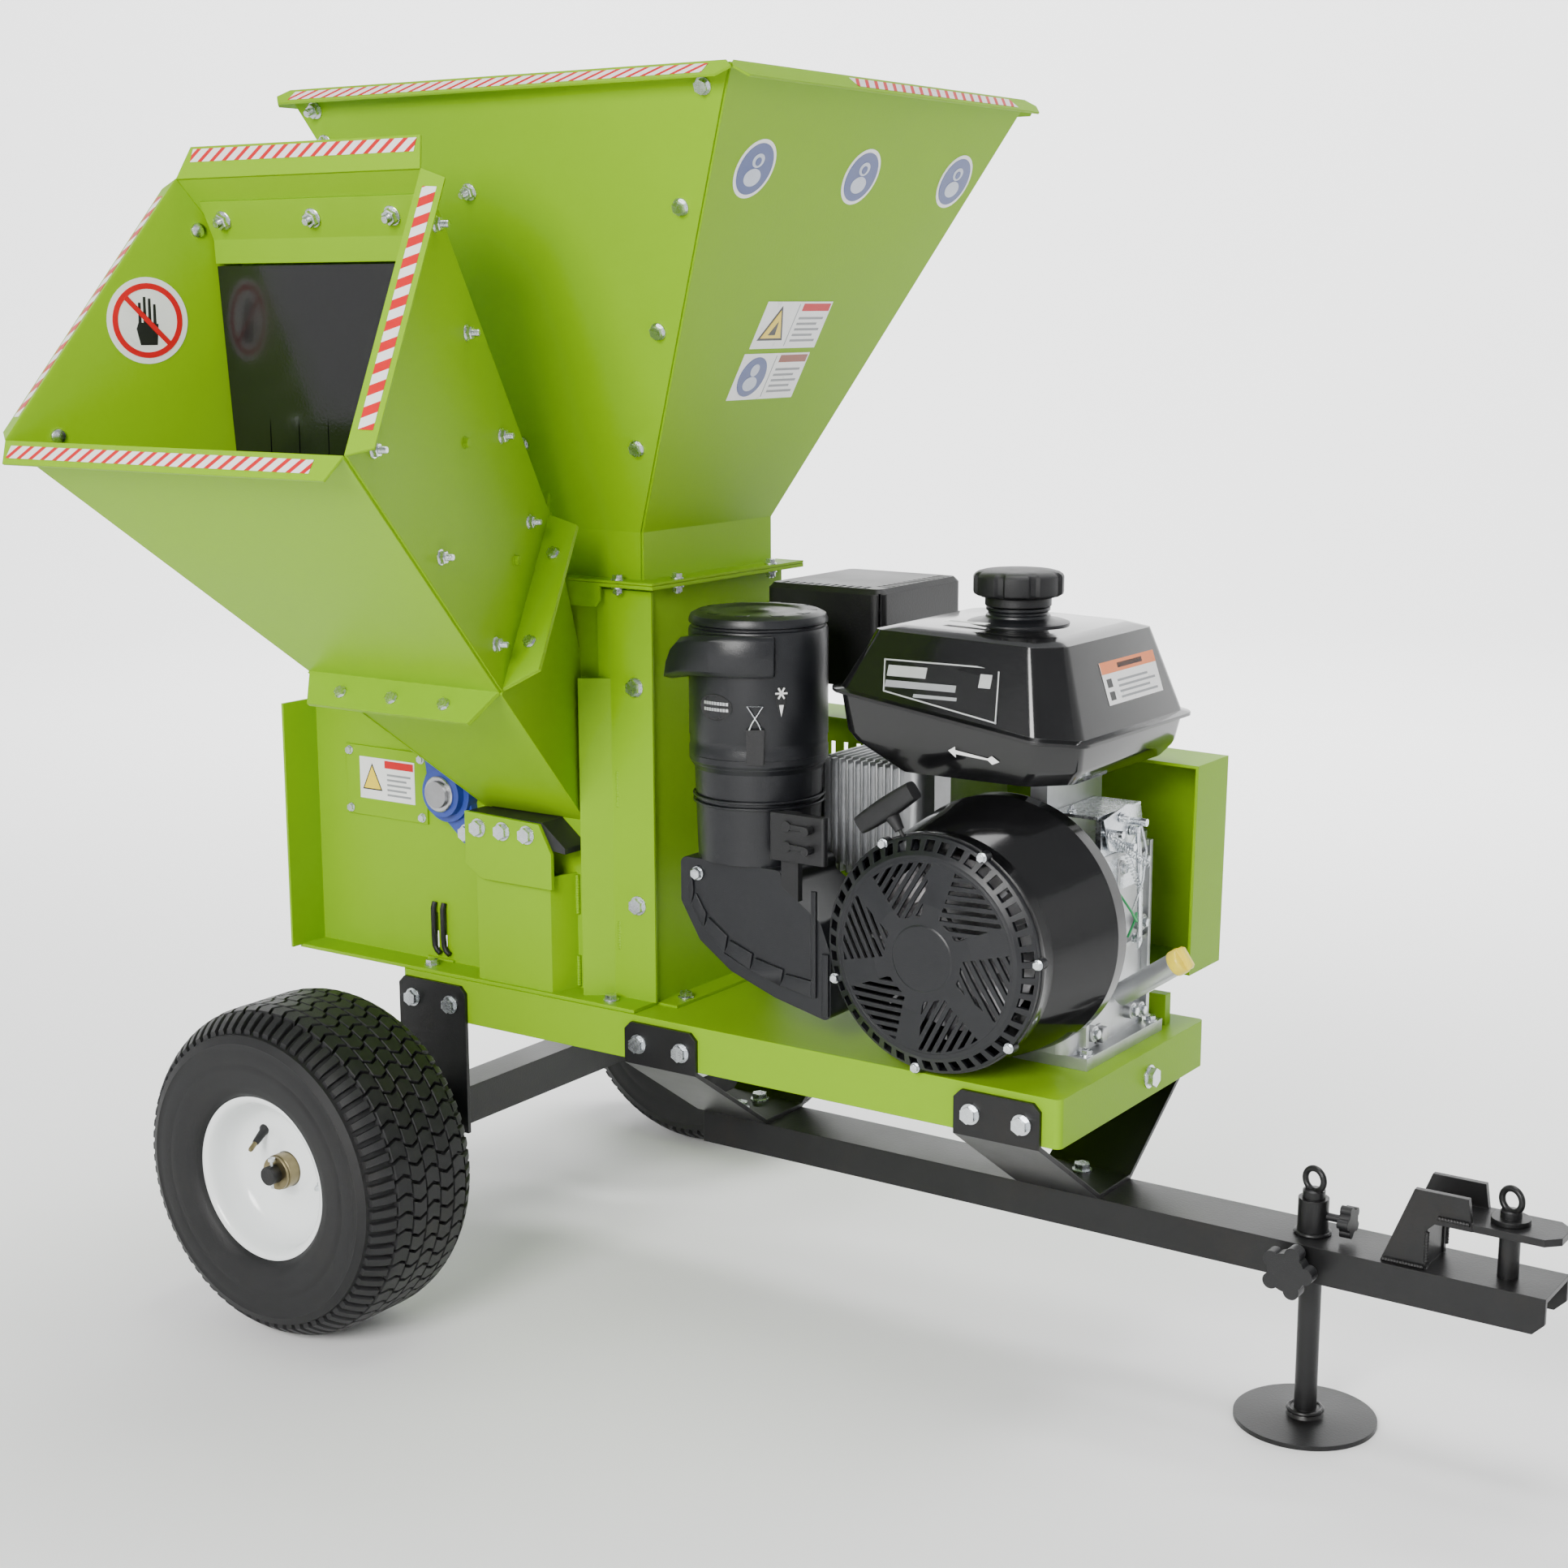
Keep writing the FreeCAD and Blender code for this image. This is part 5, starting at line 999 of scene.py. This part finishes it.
    arrow = [(-0.036, 0), (-0.026, 0.007), (-0.026, 0.0025), (0.020, 0.0012), (0.026, 0.0055), (0.036, 0),
             (0.026, -0.0055), (0.020, -0.0012), (-0.026, -0.0025), (-0.026, -0.007)]
    tilt = Vector((1, 0, -0.10)).normalized()
    rise = Vector((0, -8, 46)).normalized()
    middle = at(856, -162.2, 829)
    marks.prism([middle + tilt * a + rise * b for a, b in arrow], -Y * 0.0009, TAPE_WHITE)
    marks.done(CHASSIS, "white_paint")


def helix(start, end, radius, turns, wire, piece, material):
    run = end - start
    u, w = frame_of(run)
    steps = turns * 12
    spin = circle(12)
    path = [start + run * (i / steps) + (u * spin[i % 12][0] + w * spin[i % 12][1]) * radius
            for i in range(steps + 1)]
    piece.tube(path, wire, material, 6)


def make_rain_hood(centre):
    """Moulded inlet hood: it wraps the canister's front and ends in a spout that points to the rear."""
    facing = Vector((0.572, -0.820, 0))
    rearward = Vector((-0.820, -0.572, 0))

    def spot(rear, front, z):
        return centre + (rearward * rear + facing * front) * MM + Z * (z * MM)

    sections = []
    for angle, outer, low, high in ((-13, 95, 911, 959), (-11, 101, 909, 961), (4, 104, 909, 961.5),
                                    (20, 106.5, 909, 962), (36, 110, 909, 962), (52, 114, 908, 960)):
        turn = radians(angle)
        sections.append(((90 * sin(turn), 90 * cos(turn)),
                         (outer * sin(turn), outer * cos(turn)), low, high))
    sections += [((84, 34), (106, 52), 905, 955), ((89, 20), (114, 40), 901, 945),
                 ((91, 12), (120, 30), 898.5, 928), ((92, 6), (123, 22), 897.5, 905)]
    piece = Piece("rain_hood_moulding")
    loops = []
    for inner, outer, low, high in sections:
        edge = min(7.0, (high - low) / 3)
        mid = tuple(a + (b - a) * 0.72 for a, b in zip(inner, outer))
        loops.append([spot(*inner, low), spot(*mid, low), spot(*outer, low + edge),
                      spot(*outer, high - edge),
                      spot(*mid, high), spot(*inner, high)])
    piece.loft(loops, PLASTIC)
    piece.done(CHASSIS, "gloss_plastic", ["rain_hood"], bevel=0.0012, smooth=40)


def make_air_cleaner():
    piece = Piece("filter_canister")
    centre = at(520, -140, 0)
    profile = [(0, 978), (60, 978), (84, 978), (86, 976), (86, 800.2), (91, 800.2), (91, 808), (90, 812),
               (90, 822),
               (91, 824), (91, 960), (89.5, 964), (87, 965.5), (87, 968), (90.5, 970), (90.5, 974),
               (88, 980),
               (80, 984), (60, 985), (56, 983), (52, 982.6), (20, 982.6), (16, 984.5), (0, 984.9)]
    piece.turned(in_metres(profile), centre, Z, PLASTIC, 96)
    for a, b in circle(10):
        out, side = Vector((a, b, 0)), Vector((-b, a, 0))
        middle = centre + out * 0.070 + Z * 0.984
        piece.prism([middle + out * (s * 0.006) + side * (t * 0.008)
                     for s, t in ((-1, -1), (1, -1), (1, 1), (-1, 1))], Z * 0.0009, PLASTIC)
    piece.done(CHASSIS, "gloss_plastic", ["air_cleaner"], smooth=30)

    make_rain_hood(centre)

    badge = Piece("filter_badges")
    for angle, height, wide, tall, inks in ((-93, 868, 26, 17, True), (-37, 880, 7, 17, False)):
        turn = radians(angle)
        out, side = Vector((cos(turn), sin(turn), 0)), Vector((-sin(turn), cos(turn), 0))
        loops = []
        for lift in (91.2, 91.9):
            ring = []
            for a, b in circle(36):
                spin = turn + a * wide / 91.5
                ring.append(centre + Vector((cos(spin) * lift, sin(spin) * lift, height + b * tall)) * MM)
            loops.append(ring)
        badge.loft(loops, GLOSS)
        if inks:
            for row in (-5, 3):
                for k in range(9):
                    spins = [turn + (k * 4.4 - 18 + d) / 91.5 for d in (0, 3.4)]
                    badge.prism([centre + Vector((cos(t) * 91.7, sin(t) * 91.7, height + row + z)) * MM
                                 for t, z in ((spins[0], 0), (spins[1], 0), (spins[1], 4), (spins[0], 4))],
                                out * 0.0005, LABEL_SILVER)
        else:
            mark = centre + out * 0.0924 + Z * (height * MM)
            for k in range(3):
                a = radians(60 * k)
                run = side * cos(a) + Z * sin(a)
                wide_run = out.cross(run) * 0.0011
                tip = mark + Z * 0.008
                badge.prism([tip - run * 0.008 - wide_run, tip + run * 0.008 - wide_run,
                             tip + run * 0.008 + wide_run, tip - run * 0.008 + wide_run], out * 0.0004,
                             TAPE_WHITE)
            badge.prism([mark + side * a + Z * b for a,
                         b in ((-0.003, -0.007), (0.003, -0.007), (0.0, -0.022))],
                        out * 0.0004, TAPE_WHITE)
    badge.done(CHASSIS, "gloss_plastic")

    latch = Piece("filter_latch")
    a = radians(-58)
    out = Vector((cos(a), sin(a), 0))
    side = Vector((-out.y, out.x, 0))

    def on_wall(dx, z, r=0.0935):
        return centre + out * r + side * dx + Z * (z * MM)

    wire = [on_wall(-0.009, 838), on_wall(-0.004, 850), on_wall(0.010, 872), on_wall(-0.010, 872),
            on_wall(0.004, 850), on_wall(0.009, 838)]
    latch.tube(wire, 0.0013, ZINC, 8)
    latch.prism([on_wall(x, z, 0.0912) for x, z in ((-0.011, 796), (0.011, 796), (0.012, 842),
                                                    (-0.012, 842))],
                out * 0.004, MATT)
    latch.done(CHASSIS, "zinc")

    ribs = Piece("filter_body_ribs")
    for z, r in ((786, 86.5), (742, 84.6), (734, 84.2)):
        ribs.lathe([(r * MM, 0), ((r + 2.2) * MM, 0.0008), ((r + 2.2) * MM, 0.0035), (r * MM, 0.0045)],
                   centre + Z * (z * MM), Z, PLASTIC, 96)
    band = [(452, 620), (458, 596), (478, 566), (512, 540), (552, 522), (600, 508), (650, 499)]
    near = -206
    for (xa, za), (xb, zb) in zip(band, band[1:]):
        ribs.prism([at(xa, near + 1, za), at(xb, near + 1, zb), at(xb + 4, near + 1, zb + 22),
                    at(xa + 8, near + 1, za + 17)], -Y * 0.0042, PLASTIC)
    ribs.box(at(648, near - 3.5, 500), at(655, near + 1, 640), PLASTIC)
    ribs.box(at(664, near - 3.5, 478), at(674, near + 1, 560), PLASTIC)
    ribs.bolt(at(468, near - 0.5, 640), -Y, 0.009, ZINC)
    ribs.done(CHASSIS, "gloss_plastic", bevel=0.0004)


def make_recoil_details():
    crank = joint_place("crank_spin")
    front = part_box("recoil_cover")[0].y
    hub = Vector((crank.x, front, crank.z))
    trim = Piece("recoil_trim")
    trim.turned([(0, -0.0012), (0.041, -0.0012), (0.043, 0.0), (0.046, 0.0016), (0.049, 0.004),
                 (0, 0.004)], hub, Y,
                PLASTIC, 64)
    trim.lathe([(0.118, 0.0105), (0.122, 0.0068), (0.126, 0.0078), (0.124, 0.0125)], hub, Y, PLASTIC, 96)
    trim.lathe([(0.1495, 0.030), (0.1525, 0.031), (0.1525, 0.036), (0.1495, 0.036)], hub, Y, GLOSS, 96)
    trim.done(CHASSIS, "engine_black", smooth=30)
    screws = Piece("recoil_screws")
    for angle in (62, 118, 200, 262, 318, 4):
        a = radians(angle)
        place = hub + Vector((0.1495 * cos(a), 0.021, 0.1495 * sin(a)))
        screws.turned([(0, 0), (0.0075, 0), (0.0075, 0.012), (0, 0.012)], place, Y, PLASTIC, 20)
        screws.bolt(place, -Y, 0.006, ZINC)
    screws.done(CHASSIS, "zinc")


def squared(value):
    """Pushes a circle's coordinate outwards, towards a rounded square."""
    return copysign(abs(value) ** 0.55, value)


def make_pull_handle():
    pull = Vector(JOINTS["starter_pull"]["axis"])
    guide = at(793, -207, 714)
    middle = guide + pull * 0.058
    along = Vector((pull.z, 0, -pull.x))
    piece = Piece("starter_grip")
    loops = []
    for s in range(-6, 7):
        share = s / 6
        wide = 0.0132 - 0.0026 * abs(share) ** 2
        deep = 0.0138 - 0.0020 * abs(share) ** 2
        spine = middle + along * (share * 0.0458)
        loops.append([spine + pull * (squared(a) * deep) + Y * (squared(b) * wide)
                      for a, b in circle(20)])
    piece.loft(loops, MATT)
    piece.turned([(0, 0.026), (0.0062, 0.026), (0.0066, 0.030), (0.0085, 0.040), (0.0100, 0.050),
                  (0, 0.052)],
                 guide, pull, MATT, 32)
    piece.turned([(0, -0.128), (0.0024, -0.128), (0.0024, 0.030), (0, 0.030)], guide, pull, BELT, 12)
    piece.done("pull_handle", "black_plastic", ["pull_handle"], smooth=35)

    guide_ring = Piece("rope_guide")
    guide_ring.lathe([(0.0052, -0.006), (0.013, -0.006), (0.014, 0.004), (0.012, 0.010),
                      (0.0052, 0.011)], guide, pull,
                     PLASTIC, 40)
    guide_ring.done(CHASSIS, "engine_black")


def make_crankcase_details():
    piece = Piece("crankcase_castings")
    face = 962
    for y0, y1, z0, z1 in ((-70, -62, 452, 690), (100, 108, 452, 690), (-58, 96, 684, 692),
                           (-58, 96, 560, 566),
                           (8, 14, 568, 682)):
        piece.box(at(face - 1, y0, z0), at(face + 9, y1, z1), ALLOY)
    for y, z in ((-48, 668), (84, 668), (-48, 584), (84, 584), (-48, 466), (84, 466), (18, 668), (60, 470)):
        place = at(face + 2, y, z)
        piece.turned([(0, -0.003), (0.011, -0.003), (0.0105, 0.008), (0, 0.008)], place, X, ALLOY, 24)
        piece.bolt(place + X * 0.008, X, 0.007, ZINC)
    far = at(829, 126, 585)
    piece.lathe([(0.020, 0), (0.062, 0), (0.058, 0.014), (0.034, 0.018), (0.030, 0.030), (0.020, 0.030)],
                far, Y, ALLOY, 64)
    for i in range(8):
        a = radians(45 * i + 12)
        spot = far + Vector((0.088 * cos(a), -0.001, 0.088 * sin(a)))
        piece.turned([(0, 0), (0.010, 0), (0.009, 0.008), (0, 0.008)], spot, Y, ALLOY, 20)
        piece.bolt(spot + Y * 0.008, Y, 0.007, ZINC)
    piece.bolt(at(face, -20, 458), X, 0.012, STEEL)
    piece.done(CHASSIS, "engine_alloy", bevel=0.0008)

    fins = Piece("cylinder_fins")
    for i in range(11):
        x = 574 + 11.5 * i
        fins.box(at(x, -68, 632), at(x + 3.2, -56, 784), ALLOY)
        fins.box(at(x, 102, 632), at(x + 3.2, 111, 724), ALLOY)
        fins.box(at(x, -56, 776), at(x + 3.2, 60, 786), ALLOY)
        fins.box(at(x, -56, 632), at(x + 3.2, 102, 641), ALLOY)
    fins.done(CHASSIS, "engine_alloy", bevel=0.0004)


def make_governor():
    piece = Piece("governor_links")
    helix(at(978, -26, 716), at(996, 40, 672), 0.0042, 15, 0.0007, piece, ZINC)
    helix(at(980, 8, 694), at(990, 34, 640), 0.0036, 12, 0.0006, piece, ZINC)
    piece.tube([at(986, 40, 722), at(992, 44, 690), at(990, 40, 650), at(980, 34, 612)], 0.0016, ZINC, 8)
    plate = [(-46, 742), (18, 752), (58, 744), (64, 722), (36, 700), (10, 690), (-28, 700)]
    piece.prism([at(974, y, z) for y, z in plate], X * 0.0022, ZINC)
    arm = [(26, 720), (36, 722), (48, 640), (50, 566), (40, 560), (36, 640)]
    piece.prism([at(984, y, z) for y, z in arm], X * 0.003, ZINC)
    for y, z in ((-30, 720), (30, 716), (44, 572), (0, 738)):
        piece.bolt(at(977, y, z), X, 0.006, ZINC, stud=0.006)
    piece.bolt(at(930, -44, 746), Z, 0.006, ZINC, stud=0.006)
    piece.bolt(at(900, -58, 750), -Y, 0.007, ZINC, stud=0.004)
    piece.done(CHASSIS, "zinc", bevel=0.0003)
    lead = Piece("stop_lead")
    path = []
    points = [at(990, -30, 650), at(1002, -14, 622), at(1000, 4, 606), at(992, 20, 612), at(984, 30, 596),
              at(972, 34, 570)]
    for k in range(len(points) - 1):
        for i in range(5):
            path.append(points[k].lerp(points[k + 1], i / 5))
    lead.tube(path, 0.0016, GREEN_LEAD, 8)
    lead.done(CHASSIS, "black_plastic")


def make_dipstick():
    slope = Vector(JOINTS["dipstick_draw"]["axis"])
    tip = at(964, 34, 496) + slope * 0.092
    piece = Piece("oil_filler_cap")
    piece.turned([(0, -0.028), (0.0088, -0.028), (0.0088, 0.0004), (0.0165, 0.0006), (0.017, 0.003),
                  (0.017, 0.013),
                  (0.0155, 0.0155), (0, 0.016)], tip, slope, YELLOW, 32)
    across = slope.cross(Y).normalized()
    outline = [(-0.015, 0.012), (0.015, 0.012), (0.0155, 0.020), (0.0125, 0.0238), (-0.0125, 0.0238),
               (-0.0155, 0.020)]
    piece.prism([tip + across * a + slope * b - Y * 0.005 for a, b in outline], Y * 0.010, YELLOW)
    piece.done("dipstick", "yellow_plastic", ["dipstick"], bevel=0.001, smooth=30)


make_camera()
make_world()
make_stage()
dress_cad_nodes()
make_wheels()
make_hopper_marks()
make_chute_marks()
make_curtain()
make_housing_details()
make_screen_hooks()
make_hitch_details()
make_tank()
make_air_cleaner()
make_recoil_details()
make_pull_handle()
make_crankcase_details()
make_governor()
make_dipstick()
